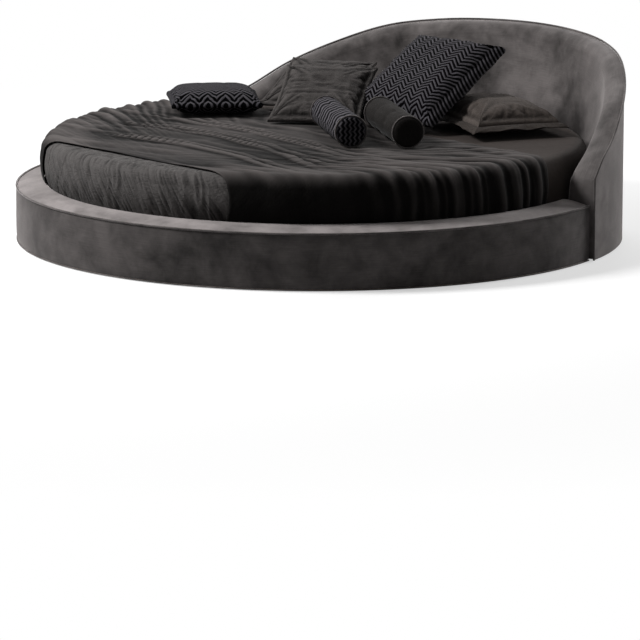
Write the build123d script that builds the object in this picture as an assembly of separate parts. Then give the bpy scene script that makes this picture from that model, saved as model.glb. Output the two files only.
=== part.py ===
from build123d import *
import os
from math import asin, cos, degrees, hypot, radians, sin, sqrt

os.makedirs("parts", exist_ok=True)

# Frame: millimetres, origin on the floor under the middle of the round base,
# +Z up, +Y towards the middle of the headboard, so the foot of the bed faces -Y.

# Overall sizes
base_radius = 1350
base_height = 250
floor_gap = 5
well_radius = 1213
headboard_radius = 1366
headboard_height = 838
headboard_half_span = 69.8
headboard_gap = 10
back_direction = 90

# Clearances
fit = 0.3
rest_gap = 0.3
overrun = 20
corner_gap = 2

# Board and padding thicknesses
cover = 1.5
ring_board = 18
rib_board = 18
skin_board = 9
wall_board = 12
bent_board = 6
side_foam = 6
ledge_crown = 16
ledge_drop = 24
ledge_flap = 36
piping = 9
hem_piping = 6

# Slatted base
slat_top = 190
slat_width = 84
slat_thickness = 18
slat_pitch = 141
slat_end_gap = 6
cleat_width = 34
cleat_height = 26
beam_width = 50
beam_height = 98
side_beam_offset = 610
beam_end_gap = 3
leg_diameter = 46
leg_foot_diameter = 64
leg_foot_height = 8
leg_pitch = 440
screw_diameter = 5
screw_head_diameter = 9
screw_head_height = 3
bracket_thickness = 3
bracket_width = 40
bracket_depth = 36

# Rib spacing and glides, as angles and counts
front_rib_count = 13
headboard_rib_count = 9
glide_diameter = 40
glide_inset = 60

# Headboard shape
face_lean = 0.15
face_foot_radius = 1220
face_foot_height = 268
rim_drop = 62
end_round = 45
end_edge = 30
head_pad = 22
head_wadding = 4
post_width = 110
# Height of the outline, from the middle of the span to its end
outline_shares = ((0, 1), (0.2, 0.9905), (0.35, 0.969), (0.5, 0.923), (0.65, 0.822),
                  (0.78, 0.709), (0.88, 0.592), (0.95, 0.518), (1, 0.427))
headboard_section_count = 21
piping_count = 71
leg_station_shares = (9, 3, 1)

# Headboard fixings
bolt_diameter = 8
bolt_head_diameter = 15
bolt_head_height = 5
washer_diameter = 24
washer_thickness = 2
barrel_diameter = 14
barrel_length = 12
bolt_rows = (62, 112)
bolt_column_count = 6

# Mattress and bedding
mattress_radius = 1200
mattress_thickness = 256
mattress_round = 58
mattress_foot_round = 24
ticking = 2
sheet_cloth = 1.2
sheet_tuck = 40
quilt_top = 15
quilt_side = 19
quilt_belly = 4
quilt_tuck_cloth = 9
quilt_drop = 6
quilt_tuck = 22
quilt_belly_share = 0.42
throw_cloth = 3.5
throw_foot_edge = 1050
throw_head_edge = 262
throw_over_quilt = 12
throw_hem_gap = 3
fold_radius = 20
fold_tip_radius = 4
fold_depth = 11
fold_rise_share = 0.8
fold_count = 17
pleat_height = 8
pleat_width = 50
# Crests of the pleats across the top, as shares of the mattress radius
pleat_shares = (
    ((-0.72, -0.215), (-0.43, -0.225), (-0.2, -0.2), (0.176, -0.258), (0.56, -0.315)),
    ((-0.7, -0.42), (-0.33, -0.365), (-0.07, -0.36), (0.33, -0.47), (0.63, -0.56)),
    ((-0.5, -0.66), (-0.2, -0.6), (0.13, -0.585), (0.34, -0.62), (0.6, -0.7)),
)
pleat_height_shares = (0.2, 0.9, 1, 0.9, 0.2)
pleat_width_shares = (0.5, 0.9, 1, 0.9, 0.5)

# Cushions and pillows
square_cushion = 430
square_loft = 116
small_cushion = 420
small_loft = 104
large_cushion = 545
large_loft = 150
pillow_length = 650
pillow_width = 460
pillow_loft = 160
squashed_pillow_loft = 123
pillow_under_share = 0.38
flange_width = 34
flange_thickness = 4
bolster_length = 620
bolster_radius = 73
bolster_dome = 14
bolster_draw = 3
bolster_end_draw = 5.5
bolster_flat_share = 0.6
bolster_piping = 6
cushion_cloth = 1.6
# Outline of a stuffed cover at rising levels: height, half side and half corner
level_shares = ((0, 0.935, 1), (0.3, 0.9, 0.885), (0.6, 0.8, 0.75), (0.83, 0.66, 0.585),
                (0.96, 0.46, 0.39), (1, 0.27, 0.21))
# Middle of each cushion on the bed, as shares of the mattress radius
large_place_shares = (0.066, 0.497)
front_place_shares = (-0.2233, 0.2218)
back_place_shares = (-0.4235, 0.3705)
small_place_shares = (-0.6594, 0.0469)
right_place_shares = (0.305, 0.61)
left_place_shares = (-0.4538, 0.5443)
plain_place_shares = (0.296, 0.114)
woven_place_shares = (0.149, -0.028)
# Turn about the upright axis and lean above level, in degrees
large_turn = 0
large_lean = 34
front_turn = 35.6
front_lean = 28
back_turn = 24.9
back_lean = 22.9
small_turn = -35.8
right_turn = 160
left_turn = 23
plain_turn = 150
woven_turn = 149.2
# Height of a leaning cushion above the bed, where it lies on its neighbours
large_rise = 34.4
back_rise = 22.3

# Derived radii of the drum, from the outside in
side_foam_out = base_radius - cover - fit
side_foam_in = side_foam_out - side_foam
skin_out = side_foam_in - fit
skin_in = skin_out - skin_board
board_out = skin_in - fit
flap_out = well_radius + cover
wall_in = flap_out + fit
wall_out = wall_in + wall_board
board_in = wall_out + fit
core_in = board_in + cover + fit
piping_radius = piping / 2
hem_radius = hem_piping / 2
ledge_top = base_height - piping_radius
ledge_board_top = base_height - ledge_drop + ring_board / 2
ledge_board_low = ledge_board_top - ring_board

# Derived radii of the headboard, from the outside in
wadding_out = headboard_radius - cover - fit
wadding_in = wadding_out - head_wadding
back_out = wadding_in - fit
back_in = back_out - bent_board
front_start = back_direction + headboard_half_span + degrees(headboard_gap / base_radius)
front_span = 2 * (270 - front_start)

# Derived levels and radii of the bedding
mattress_low = slat_top + rest_gap
mattress_top = mattress_low + mattress_thickness
sheet_top = mattress_top + fit + sheet_cloth
quilt_low = sheet_top + fit
quilt_high = quilt_low + quilt_top
quilt_head_edge = throw_head_edge - throw_over_quilt
throw_top = quilt_high + fit + throw_cloth
ledge_crown_top = base_height + ledge_crown
node_list = []


# Helpers
def save(name, shape):
    """Write one sub-part and keep its name."""
    shape.label = name
    node_list.append(name)
    export_step(shape, f"parts/{name}.step")


def turned(edges, start, span):
    """Revolve a closed outline of the radius and height plane about the bed's axis."""
    face = make_face(Plane.XZ * edges)
    solid = revolve(face, Axis.Z, span)
    return Rot(0, 0, start) * solid


def outline(*points):
    """Closed straight outline through the points."""
    return Polyline(*points, close=True)


def disc(radius, low, high):
    """Upright round block about the bed's axis."""
    return Pos(0, 0, low) * Cylinder(radius, high - low, align=(Align.CENTER, Align.CENTER, Align.MIN))


def ring(inner, outer, low, high, start=0, span=360):
    """Flat ring or sector of a ring."""
    if span >= 360:
        return disc(outer, low, high) - disc(inner, low - overrun, high + overrun)
    return turned(outline((inner, low), (outer, low), (outer, high), (inner, high)), start, span)


def around(shape, angles):
    """Copies of a shape turned about the bed's axis, kept as separate solids."""
    return Compound(children=[Rot(0, 0, angle) * shape for angle in angles])


def group(shapes):
    """Separate solids in one node."""
    return Compound(children=list(shapes))


def spread(first, last, count):
    """Evenly spaced values from first to last."""
    return [first + (last - first) * k / (count - 1) for k in range(count)]


# Round base, outside parts
def base_boards():
    """Lower and upper ring boards, ribs, bent skin and the full inner wall."""
    ring_top = floor_gap + ring_board
    save("base_bottom_ring", ring(board_in, board_out, floor_gap, ring_top, front_start, front_span))
    ledge = ring(board_in, board_out, ledge_board_low, ledge_board_top, front_start, front_span)
    save("base_ledge_board", ledge)
    depth = board_out - board_in - corner_gap
    height = ledge_board_low - ring_top
    rib = Box(depth, rib_board, height, align=(Align.MIN, Align.CENTER, Align.MIN))
    rib = Pos(board_in + corner_gap / 2, 0, ring_top) * rib
    edge = degrees(rib_board / board_in)
    save("base_ribs", around(rib, spread(front_start + edge, front_start + front_span - edge, front_rib_count)))
    save("base_skin", ring(skin_in, skin_out, floor_gap, ledge_board_top, front_start, front_span))
    save("base_inner_wall", inner_wall())


def inner_wall():
    """Full ring that holds the slats and the mattress, drilled for the headboard bolts."""
    wall = ring(wall_in, wall_out, floor_gap, ledge_board_top)
    return wall - bolt_holes()


def base_padding():
    """Foam and velvet over the side and the ledge."""
    side_low = floor_gap + hem_piping - cover + fit
    side_high = base_height - piping
    foam_low = side_low + hem_radius
    save("base_side_foam", ring(side_foam_in, side_foam_out, foam_low, side_high, front_start, front_span))
    save("base_side_cover", ring(base_radius - cover, base_radius, side_low, side_high, front_start, front_span))
    save("ledge_foam", turned(ledge_outline(cover + fit), front_start, front_span))
    save("ledge_cover", ledge_cover())


def ledge_outline(inset):
    """Crowned section of the ledge pad, drawn in from the cover's outside by an inset."""
    low = ledge_board_top + (fit if inset > 0 else 0)
    inner = well_radius + inset
    outer = base_radius - piping - inset / 2
    crown = base_height + ledge_crown - inset
    outer_top = ledge_top - inset / 2
    shoulder = ledge_crown * 0.6
    bend = sqrt(0.5)
    corner = (inner + shoulder - shoulder * bend, crown - shoulder + shoulder * bend)
    middle = ((inner + shoulder + outer) / 2, (crown + outer_top) / 2 + ledge_crown / 4)
    return (
        Polyline((inner, crown - shoulder), (inner, low), (outer, low), (outer, outer_top))
        + ThreePointArc((outer, outer_top), middle, (inner + shoulder, crown))
        + ThreePointArc((inner + shoulder, crown), corner, (inner, crown - shoulder))
    )


def ledge_cover():
    """Velvet over the ledge pad, with a flap down the inside of the well."""
    skin = turned(ledge_outline(0), front_start, front_span)
    hollow = turned(ledge_outline(cover), front_start - 1, front_span + 2)
    below = ring(flap_out, base_radius, 0, ledge_board_top + fit, front_start - 1, front_span + 2)
    shell = skin - hollow - below
    flap = ring(well_radius, flap_out, ledge_board_top - ledge_flap, ledge_board_top + fit, front_start, front_span)
    return shell + flap


def base_piping():
    """Velvet piping along the upper edge and a thin one along the floor."""
    upper_centre = (base_radius - piping_radius + cover, ledge_top)
    lower_centre = (base_radius - hem_radius + cover / 2, floor_gap + hem_radius - cover)
    upper = Plane.XZ * (Pos(*upper_centre) * Circle(piping_radius))
    lower = Plane.XZ * (Pos(*lower_centre) * Circle(hem_radius))
    save("base_top_piping", Rot(0, 0, front_start) * revolve(upper, Axis.Z, front_span))
    save("base_bottom_piping", Rot(0, 0, front_start) * revolve(lower, Axis.Z, front_span))


# Slatted base inside the well
def slat_places():
    """Distances of the slats from the middle of the bed."""
    reach = wall_in - slat_width
    count = int(reach / slat_pitch)
    return [k * slat_pitch for k in range(-count, count + 1)]


def slatted_base():
    """Cleat ring, beams, slats and their screws."""
    slat_low = slat_top - slat_thickness
    cleat_low = slat_low - cleat_height
    cleat_in = wall_in - fit - cleat_width
    cleat = ring(cleat_in, wall_in - fit, cleat_low, slat_low)
    slat_reach = wall_in - slat_end_gap
    bed = Cylinder(slat_reach, slat_thickness, align=(Align.CENTER, Align.CENTER, Align.MIN))
    bed = Pos(0, 0, slat_low) * bed
    slats = []
    holes = []
    screws = []
    shank = Cylinder(screw_diameter / 2, slat_thickness + cleat_height / 2,
                     align=(Align.CENTER, Align.CENTER, Align.MAX))
    head = Cylinder(screw_head_diameter / 2, screw_head_height, align=(Align.CENTER, Align.CENTER, Align.MAX))
    hole = Cylinder(screw_diameter / 2 + fit, slat_thickness + cleat_height / 2 + fit,
                    align=(Align.CENTER, Align.CENTER, Align.MAX))
    sink = Cylinder(screw_head_diameter / 2 + fit, screw_head_height,
                    align=(Align.CENTER, Align.CENTER, Align.MAX))
    for y in slat_places():
        bar = Box(2 * slat_reach, slat_width, slat_thickness, align=(Align.CENTER, Align.CENTER, Align.MIN))
        bar = (Pos(0, y, slat_low) * bar) & bed
        x = sqrt((cleat_in + cleat_width / 2) ** 2 - y ** 2)
        for side in (-1, 1):
            place = Pos(side * x, y, slat_top)
            bar = bar - (place * hole) - (place * sink)
            holes.append(place * hole)
            screws.append(place * (shank + head))
        slats.append(bar)
    save("slat_cleat_ring", cleat - holes)
    save("slats", group(slats))
    save("slat_screws", group(screws))


def beam_run(x):
    """Half length of a beam that lies at this distance from the middle."""
    edge = abs(x) + beam_width / 2
    return sqrt((wall_in - beam_end_gap) ** 2 - edge ** 2)


def beams():
    """Middle beam, two side beams, their legs, feet and end brackets."""
    beam_top = slat_top - slat_thickness
    beam_low = beam_top - beam_height
    cleat_low = beam_top - cleat_height
    cleat_in = wall_in - fit - cleat_width - fit
    solids = []
    legs = []
    feet = []
    brackets = []
    for x in (-side_beam_offset, 0, side_beam_offset):
        reach = beam_run(x)
        bar = Box(beam_width, 2 * reach, beam_height, align=(Align.CENTER, Align.CENTER, Align.MIN))
        bar = Pos(x, 0, beam_low) * bar
        notch = ring(cleat_in, base_radius, cleat_low - fit, beam_top + overrun)
        solids.append(bar - notch)
        count = int((reach - leg_foot_diameter - bracket_depth) / leg_pitch)
        for k in range(-count, count + 1):
            leg = Cylinder(leg_diameter / 2, beam_low - leg_foot_height,
                           align=(Align.CENTER, Align.CENTER, Align.MIN))
            foot = Cylinder(leg_foot_diameter / 2, leg_foot_height,
                            align=(Align.CENTER, Align.CENTER, Align.MIN))
            legs.append(Pos(x, k * leg_pitch, leg_foot_height) * leg)
            feet.append(Pos(x, k * leg_pitch, 0) * foot)
        for side in (-1, 1):
            brackets.append(beam_bracket(x, side, reach, beam_low))
    save("beam_middle", solids[1])
    save("beams_side", group([solids[0], solids[2]]))
    save("beam_legs", group(legs))
    save("beam_feet", group(feet))
    save("beam_brackets", group(brackets))


def beam_bracket(x, side, reach, beam_low):
    """Steel shoe under a beam's end, screwed flat to the inner wall's foot."""
    sole = Box(bracket_width, bracket_depth, bracket_thickness, align=(Align.CENTER, Align.MAX, Align.MAX))
    stay = Box(bracket_width, bracket_thickness, beam_low - floor_gap - ring_board,
               align=(Align.CENTER, Align.MAX, Align.MAX))
    shoe = Pos(0, reach, beam_low) * (sole + stay)
    shoe = Pos(x, 0, 0) * shoe
    return shoe if side > 0 else Rot(0, 0, 180) * Pos(-2 * x, 0, 0) * shoe


def glides():
    """Plastic glides under the ring boards of the base and of the headboard."""
    glide = Cylinder(glide_diameter / 2, floor_gap, align=(Align.CENTER, Align.CENTER, Align.MIN))
    glide = Pos((board_in + board_out) / 2, 0, 0) * glide
    inset = degrees(glide_inset / board_in)
    front = spread(front_start + inset, front_start + front_span - inset, front_rib_count)
    save("base_glides", around(glide, front))
    first = back_direction - headboard_half_span + 2 * inset
    last = back_direction + headboard_half_span - 2 * inset
    save("headboard_glides", around(glide, spread(first, last, headboard_rib_count)))


# Headboard
def outline_height(share):
    """Height of the headboard's outline at a share of its half span."""
    share = min(1, abs(share))
    for (a, ha), (b, hb) in zip(outline_shares, outline_shares[1:]):
        if share <= b:
            t = (share - a) / (b - a)
            break
    slopes = []
    for k in range(len(outline_shares)):
        low = max(0, k - 1)
        high = min(len(outline_shares) - 1, k + 1)
        run = outline_shares[high][0] - outline_shares[low][0]
        slopes.append((outline_shares[high][1] - outline_shares[low][1]) / run if k else 0)
    k = [s for s, _ in outline_shares].index(a)
    run = b - a
    value = ha * (1 + 2 * t) * (1 - t) ** 2 + hb * t * t * (3 - 2 * t)
    value += slopes[k] * run * t * (1 - t) ** 2 - slopes[k + 1] * run * t * t * (1 - t)
    return headboard_height * value


def outline_stretch(share):
    """Length of the outline per length along the span, for even offsets."""
    step = 0.01
    rise = outline_height(min(1, share + step)) - outline_height(max(0, share - step))
    run = (min(1, share + step) - max(0, share - step)) * radians(headboard_half_span) * headboard_radius
    return hypot(1, rise / run)


def face_radius(z):
    """Radius of the leaning inner face at a height."""
    return face_foot_radius + face_lean * (z - face_foot_height)


def headboard_section(angle, inset, low, reach):
    """Closed radial section of the padded headboard, drawn in by an inset and reaching out past it."""
    share = abs(angle) / headboard_half_span
    top = outline_height(share) - inset * outline_stretch(share)
    outer = headboard_radius - inset
    rim_low = top - rim_drop + inset
    rim = (face_radius(rim_low) + inset, rim_low)
    bend = (outer - (outer - rim[0]) * sqrt(0.5), top - (rim_drop - inset) * (1 - sqrt(0.5)))
    seat = ledge_board_top + fit + inset
    step = board_in + inset
    out = (((outer, top), (outer + reach, top), (outer + reach, low)) if reach else ((outer, top), (outer, low)))
    edges = Polyline(*out, (step, low), (step, seat), (face_radius(seat) + inset, seat), rim)
    return edges + ThreePointArc(rim, bend, (outer, top))


def polar(radius, angle):
    """Point of the plan at a radius and direction."""
    return (radius * cos(radians(angle)), radius * sin(radians(angle)))


def headboard_plan(inset, low):
    """Upright block over the headboard's plan, with large rounds at its inner end corners."""
    half = headboard_half_span - degrees(inset / headboard_radius)
    outside = headboard_radius + overrun
    inside = face_foot_radius - overrun
    edge = headboard_radius - end_edge - inset
    turn = degrees((end_round - inset) / face_foot_radius)
    deep = edge - face_foot_radius - inset
    first = back_direction - half
    last = back_direction + half

    def round_corner(sign, angle):
        bend = polar(edge - deep * sqrt(0.5), angle + sign * turn * (1 - sqrt(0.5)))
        return polar(edge, angle), bend, polar(edge - deep, angle + sign * turn)

    p1, p2, p3 = round_corner(1, first)
    q1, q2, q3 = round_corner(-1, last)
    i1 = polar(inside, first + turn)
    i2 = polar(inside, last - turn)
    o1 = polar(outside, last)
    o2 = polar(outside, first)
    edges = Polyline(p3, i1) + ThreePointArc(i1, polar(inside, back_direction), i2) + Polyline(i2, q3)
    edges += ThreePointArc(q3, q2, q1) + Polyline(q1, o1)
    edges += ThreePointArc(o1, polar(outside, back_direction), o2) + Polyline(o2, p1) + ThreePointArc(p1, p2, p3)
    return Pos(0, 0, low) * extrude(make_face(edges), headboard_height + 2 * overrun - low)


def headboard_form(inset, low, reach=0):
    """Whole headboard as a loft of its radial sections, rounded at its ends."""
    half = headboard_half_span + degrees(overrun / headboard_radius)
    sections = []
    for angle in spread(-half, half, headboard_section_count):
        face = make_face(Plane.XZ * headboard_section(angle, inset, low, reach))
        sections.append(Rot(0, 0, back_direction + angle) * face)
    return loft(sections) & headboard_plan(inset, low - overrun)


def strip(points_at, angles):
    """Loft of straight-sided radial sections at the angles."""
    sections = []
    for angle in angles:
        face = make_face(Plane.XZ * outline(*points_at(angle)))
        sections.append(Rot(0, 0, back_direction + angle) * face)
    return loft(sections)


def board_half_span():
    """Half span of the boards inside the headboard's padding."""
    return headboard_half_span - degrees((end_round + post_width) / headboard_radius)


def headboard_padding():
    """Inner cover with its foam, outer cover with its wadding."""
    low = floor_gap + hem_piping
    whole = headboard_form(0, low)
    lining = headboard_form(cover, floor_gap - overrun)
    split = Cylinder(headboard_radius - cover - fit, 2 * headboard_height)
    half = board_half_span() + degrees(fit / board_in)
    start = back_direction - half
    below_flap = ring(wall_in, core_in, 0, ledge_board_top - ledge_flap, start, 2 * half)
    save("headboard_inner_cover", ((whole - lining) & split) - below_flap)
    angles = spread(-headboard_half_span, headboard_half_span, headboard_section_count)

    def outer_points(angle):
        top = outline_height(abs(angle) / headboard_half_span)
        outer = headboard_radius
        return ((outer - cover, low), (outer, low), (outer, top), (outer - cover, top))

    save("headboard_outer_cover", strip(outer_points, angles))
    pad_out = headboard_form(cover + fit, low)
    pad_in = headboard_form(cover + fit + head_pad, floor_gap - overrun, head_pad)
    core = Cylinder(back_in - fit, 2 * headboard_height)
    frame_room = ring(wall_in, headboard_radius, 0, ledge_board_top + fit, start, 2 * half)
    save("headboard_foam", (pad_out & core) - pad_in - frame_room)


def core_limit(angle):
    """Height to which boards reach under the padding at an angle."""
    share = abs(angle) / headboard_half_span
    deep = cover + fit + head_pad + fit
    return outline_height(share) - (deep + rib_board) * outline_stretch(share)


def headboard_boards():
    """Bottom plate, lower panel, face and back panels, ribs, end posts and wadding."""
    half = board_half_span()
    start = back_direction - half
    plate_top = floor_gap + ring_board
    save("headboard_bottom_plate", ring(core_in, back_in - fit, floor_gap, plate_top, start, 2 * half))
    panel = ring(core_in, core_in + wall_board, plate_top, ledge_board_top, start, 2 * half)
    save("headboard_lower_panel", panel - bolt_holes())
    angles = spread(-half, half, 2 * headboard_rib_count - 1)

    def back_points(angle):
        top = core_limit(angle) + rib_board
        return ((back_in, floor_gap), (back_out, floor_gap), (back_out, top), (back_in, top))

    def wadding_points(angle):
        top = core_limit(angle) + rib_board
        low = floor_gap + hem_piping
        return ((wadding_in, low), (wadding_out, low), (wadding_out, top), (wadding_in, top))

    deep = cover + fit + head_pad + fit

    def face_points(angle):
        low = ledge_board_top + fit + deep + fit
        top = core_limit(angle) - rib_board
        near = face_radius(low) + deep * hypot(1, face_lean)
        far = face_radius(top) + deep * hypot(1, face_lean)
        return ((near, low), (near + bent_board, low), (far + bent_board, top), (far, top))

    save("headboard_back_panel", strip(back_points, angles))
    save("headboard_wadding", strip(wadding_points, angles))
    save("headboard_face_panel", strip(face_points, angles))
    ribs = [headboard_rib(a, face_points(a), plate_top) for a in spread(-half * 0.96, half * 0.96, headboard_rib_count)]
    save("headboard_ribs", group(ribs))


def headboard_rib(angle, face_points, low):
    """Upright board between the face and back panels at one angle."""
    share_low = max(abs(angle) - 1, 0)
    top = min(core_limit(angle), core_limit(share_low), core_limit(abs(angle) + 1)) - rib_board
    inner_low = core_in + wall_board + fit
    outer = back_in - 2 * fit
    shelf = ledge_board_top
    start = face_points[0][1]
    near = max(face_points[1][0], core_in + head_pad) + 2 * fit
    far = max(face_points[1][0] + face_lean * (top - start) + 2 * fit, near + face_lean)
    edges = outline((inner_low, low), (outer, low), (outer, top), (far, top), (near, start), (near, shelf),
                    (inner_low, shelf))
    rib = extrude(make_face(Plane.XZ * edges), rib_board / 2, both=True)
    return Rot(0, 0, back_direction + angle) * rib


def headboard_hem():
    """Thin velvet piping along the floor, between the two ends of the outline's piping."""
    half = headboard_half_span - degrees(piping_radius / headboard_radius)
    centre = (back_out + fit + hem_radius, floor_gap + hem_radius - fit)
    hem = revolve(Plane.XZ * (Pos(*centre) * Circle(hem_radius)), Axis.Z, 2 * half)
    save("headboard_hem_piping", Rot(0, 0, back_direction - half) * hem)


def headboard_piping():
    """Piping that follows the outer edge from the floor over the top to the floor."""
    reach = piping_radius + fit
    radius = headboard_radius + reach * sqrt(0.5)
    half = headboard_half_span + degrees(reach * sqrt(0.5) / headboard_radius)
    end_high = outline_height(1) + reach * outline_stretch(1) * sqrt(0.5)
    places = [(-half, end_high - piping * s) for s in leg_station_shares]
    for u in spread(-1, 1, piping_count):
        places.append((half * u, outline_height(abs(u)) + reach * outline_stretch(abs(u)) * sqrt(0.5)))
    places += [(half, end_high - piping * s) for s in reversed(leg_station_shares)]
    places = [(-half, floor_gap)] + places + [(half, floor_gap)]
    spots = [Vector(*polar(radius, back_direction + a), z) for a, z in places]
    rings = []
    for k, spot in enumerate(spots):
        along = (spots[min(len(spots) - 1, k + 1)] - spots[max(0, k - 1)]).normalized()
        out = Vector(spot.X, spot.Y, 0).normalized()
        out = (out - along * out.dot(along)).normalized()
        rings.append(Plane(origin=spot, x_dir=out, z_dir=along) * Circle(piping_radius))
    save("headboard_piping", loft(rings, ruled=True))


def bolt_angles():
    """Directions of the bolts that hold the headboard to the inner wall."""
    reach = headboard_half_span * 0.8
    return spread(back_direction - reach, back_direction + reach, bolt_column_count)


def at_wall(shape, angle, height):
    """Place a shape made along +X at a direction and height."""
    return Rot(0, 0, angle) * Pos(0, 0, height) * shape


def bolt_holes():
    """Clearance holes through the inner wall and the headboard's lower panel."""
    hole = Cylinder(bolt_diameter / 2 + fit, 4 * wall_board, rotation=(0, 90, 0))
    hole = Pos(wall_out, 0, 0) * hole
    return [at_wall(hole, angle, z) for angle in bolt_angles() for z in bolt_rows]


def fixings():
    """Bolts, washers and threaded barrels of the headboard."""
    start = wall_in - fit - washer_thickness
    end = core_in + wall_board + fit + barrel_length
    shank = Cylinder(bolt_diameter / 2, end - start, rotation=(0, 90, 0),
                     align=(Align.CENTER, Align.CENTER, Align.MIN))
    head = Cylinder(bolt_head_diameter / 2, bolt_head_height, rotation=(0, 90, 0),
                    align=(Align.CENTER, Align.CENTER, Align.MAX))
    bolt = Pos(start, 0, 0) * (shank + head)
    disc = Cylinder(washer_diameter / 2, washer_thickness, rotation=(0, 90, 0),
                    align=(Align.CENTER, Align.CENTER, Align.MIN))
    bore = Cylinder(bolt_diameter / 2 + fit, 4 * wall_board, rotation=(0, 90, 0))
    washer = Pos(start, 0, 0) * (disc - bore)
    tube = Cylinder(barrel_diameter / 2, barrel_length, rotation=(0, 90, 0),
                    align=(Align.CENTER, Align.CENTER, Align.MIN))
    barrel = Pos(end - barrel_length, 0, 0) * (tube - bore)
    places = [(angle, z) for angle in bolt_angles() for z in bolt_rows]
    save("headboard_bolts", group([at_wall(bolt, a, z) for a, z in places]))
    save("headboard_washers", group([at_wall(washer, a, z) for a, z in places]))
    save("headboard_barrel_nuts", group([at_wall(barrel, a, z) for a, z in places]))


# Mattress and bedding
def bed_form(grow, low, foot_round=0):
    """Round block of the mattress, grown on every side, with a rounded upper edge."""
    body = disc(mattress_radius + grow, low, mattress_top + grow)
    rims = body.edges().filter_by(GeomType.CIRCLE).sort_by(Axis.Z)
    body = fillet(rims[-1], mattress_round + grow)
    if foot_round:
        body = fillet(body.edges().filter_by(GeomType.CIRCLE).sort_by(Axis.Z)[0], foot_round)
    return body


def mattress():
    """Mattress core in its ticking, with the fitted sheet over it."""
    outer = bed_form(0, mattress_low, mattress_foot_round)
    room = bed_form(-ticking, mattress_low + ticking, mattress_foot_round - ticking)
    core = bed_form(-ticking - fit, mattress_low + ticking + fit, mattress_foot_round - ticking - fit)
    save("mattress_core", core)
    save("mattress_ticking", outer - room)
    low = mattress_low + sheet_tuck
    sheet = bed_form(fit + sheet_cloth, low) - bed_form(fit, low - overrun)
    save("fitted_sheet", sheet)


def quilt_form(grow, low):
    """Round block of the quilt, bellied at the side and drawn in at its foot."""
    top = quilt_high + grow
    inner = mattress_radius + fit + sheet_cloth + fit
    foot = (inner + quilt_tuck_cloth + grow, max(low, ledge_crown_top - quilt_drop))
    shoulder = (inner + quilt_side + grow, top - mattress_round)
    belly_high = foot[1] + (shoulder[1] - foot[1]) * quilt_belly_share
    belly = (inner + quilt_side + grow + quilt_belly, belly_high)
    crown = (shoulder[0] - mattress_round, top)
    bend = (crown[0] + mattress_round * sqrt(0.5), shoulder[1] + mattress_round * sqrt(0.5))
    below = [(foot[0], low)] if foot[1] > low else []
    edges = Polyline(crown, (0, top), (0, low), *below, foot)
    edges += ThreePointArc(foot, belly, shoulder) + ThreePointArc(shoulder, bend, crown)
    return turned(edges, back_direction, 360)


def across(front, back, low, high):
    """Block over the whole width of the bed between two distances along it."""
    wide = 2 * (headboard_radius + overrun)
    block = Box(wide, back - front, high - low, align=(Align.CENTER, Align.MIN, Align.MIN))
    return Pos(0, front, low) * block


def quilt():
    """Crinkled quilt over the foot and the middle, tucked into the well."""
    low = ledge_board_top - quilt_tuck
    room = bed_form(fit + sheet_cloth + fit, low - overrun)
    part = quilt_form(0, low) & across(-headboard_radius, quilt_head_edge, 0, headboard_height)
    save("quilt", part - room)


def throw():
    """Satin throw across the bed, with its pleats on top and its folds down the sides."""
    low = ledge_crown_top + throw_hem_gap
    shell = quilt_form(fit + throw_cloth, low)
    for angle in fold_angles():
        shell = shell + side_fold(angle, low)
    for crest in pleat_shares:
        shell = shell + pleat(crest)
    shell = shell & across(-throw_foot_edge, throw_head_edge, 0, headboard_height)
    save("bed_throw", shell - quilt_form(fit, low - overrun))


def fold_angles():
    """Directions of the hanging folds on both sides of the bed."""
    edge = mattress_radius + quilt_side
    first = -degrees(asin(throw_foot_edge / edge))
    last = degrees(asin(throw_head_edge / edge))
    margin = degrees(2 * fold_radius / edge)
    right = spread(first + margin, last - margin, fold_count)
    return right + [180 - a for a in right]


def side_fold(angle, low):
    """One hanging fold that widens towards the hem."""
    high = low + fold_rise_share * (quilt_high - mattress_round - low)
    inner = mattress_radius + fit + sheet_cloth + fit
    place = inner + quilt_side + quilt_belly + fit + throw_cloth + fold_depth - fold_radius
    fold = Cone(fold_radius, fold_tip_radius, high - low, align=(Align.CENTER, Align.CENTER, Align.MIN))
    return Rot(0, 0, angle) * Pos(place, 0, low) * fold


def pleat(crest):
    """Low ridge of gathered cloth along a crest line."""
    points = [Vector(mattress_radius * x, mattress_radius * y, throw_top) for x, y in crest]
    sections = []
    for k, point in enumerate(points):
        along = (points[min(len(points) - 1, k + 1)] - points[max(0, k - 1)]).normalized()
        wide = pleat_width * pleat_width_shares[k] / 2
        high = pleat_height * pleat_height_shares[k]
        lens = ThreePointArc((-wide, -throw_cloth / 2), (0, high), (wide, -throw_cloth / 2))
        lens += Line((wide, -throw_cloth / 2), (-wide, -throw_cloth / 2))
        across_dir = Vector(-along.Y, along.X, 0)
        sections.append(Plane(origin=point, x_dir=across_dir, z_dir=along) * make_face(lens))
    return loft(sections)


# Cushions and pillows
def stuffed(length, width, over, under):
    """Stuffed cover: a sharp seam, drawn-in sides and a crown over and under it."""
    halves = []
    for height in (over, -under):
        sections = [stuffed_level(length, width, height, level) for level in level_shares]
        halves.append(loft(sections))
    return halves[0] + halves[1]


def stuffed_level(length, width, height, level):
    """Outline of a stuffed cover at one level, as four arcs."""
    rise, side, corner = level
    x = length / 2
    y = width / 2
    a = (x * corner, y * corner)
    b = (-x * corner, y * corner)
    c = (-x * corner, -y * corner)
    d = (x * corner, -y * corner)
    edges = ThreePointArc(a, (0, y * side), b) + ThreePointArc(b, (-x * side, 0), c)
    edges += ThreePointArc(c, (0, -y * side), d) + ThreePointArc(d, (x * side, 0), a)
    return Pos(0, 0, height * rise) * make_face(edges)


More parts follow.
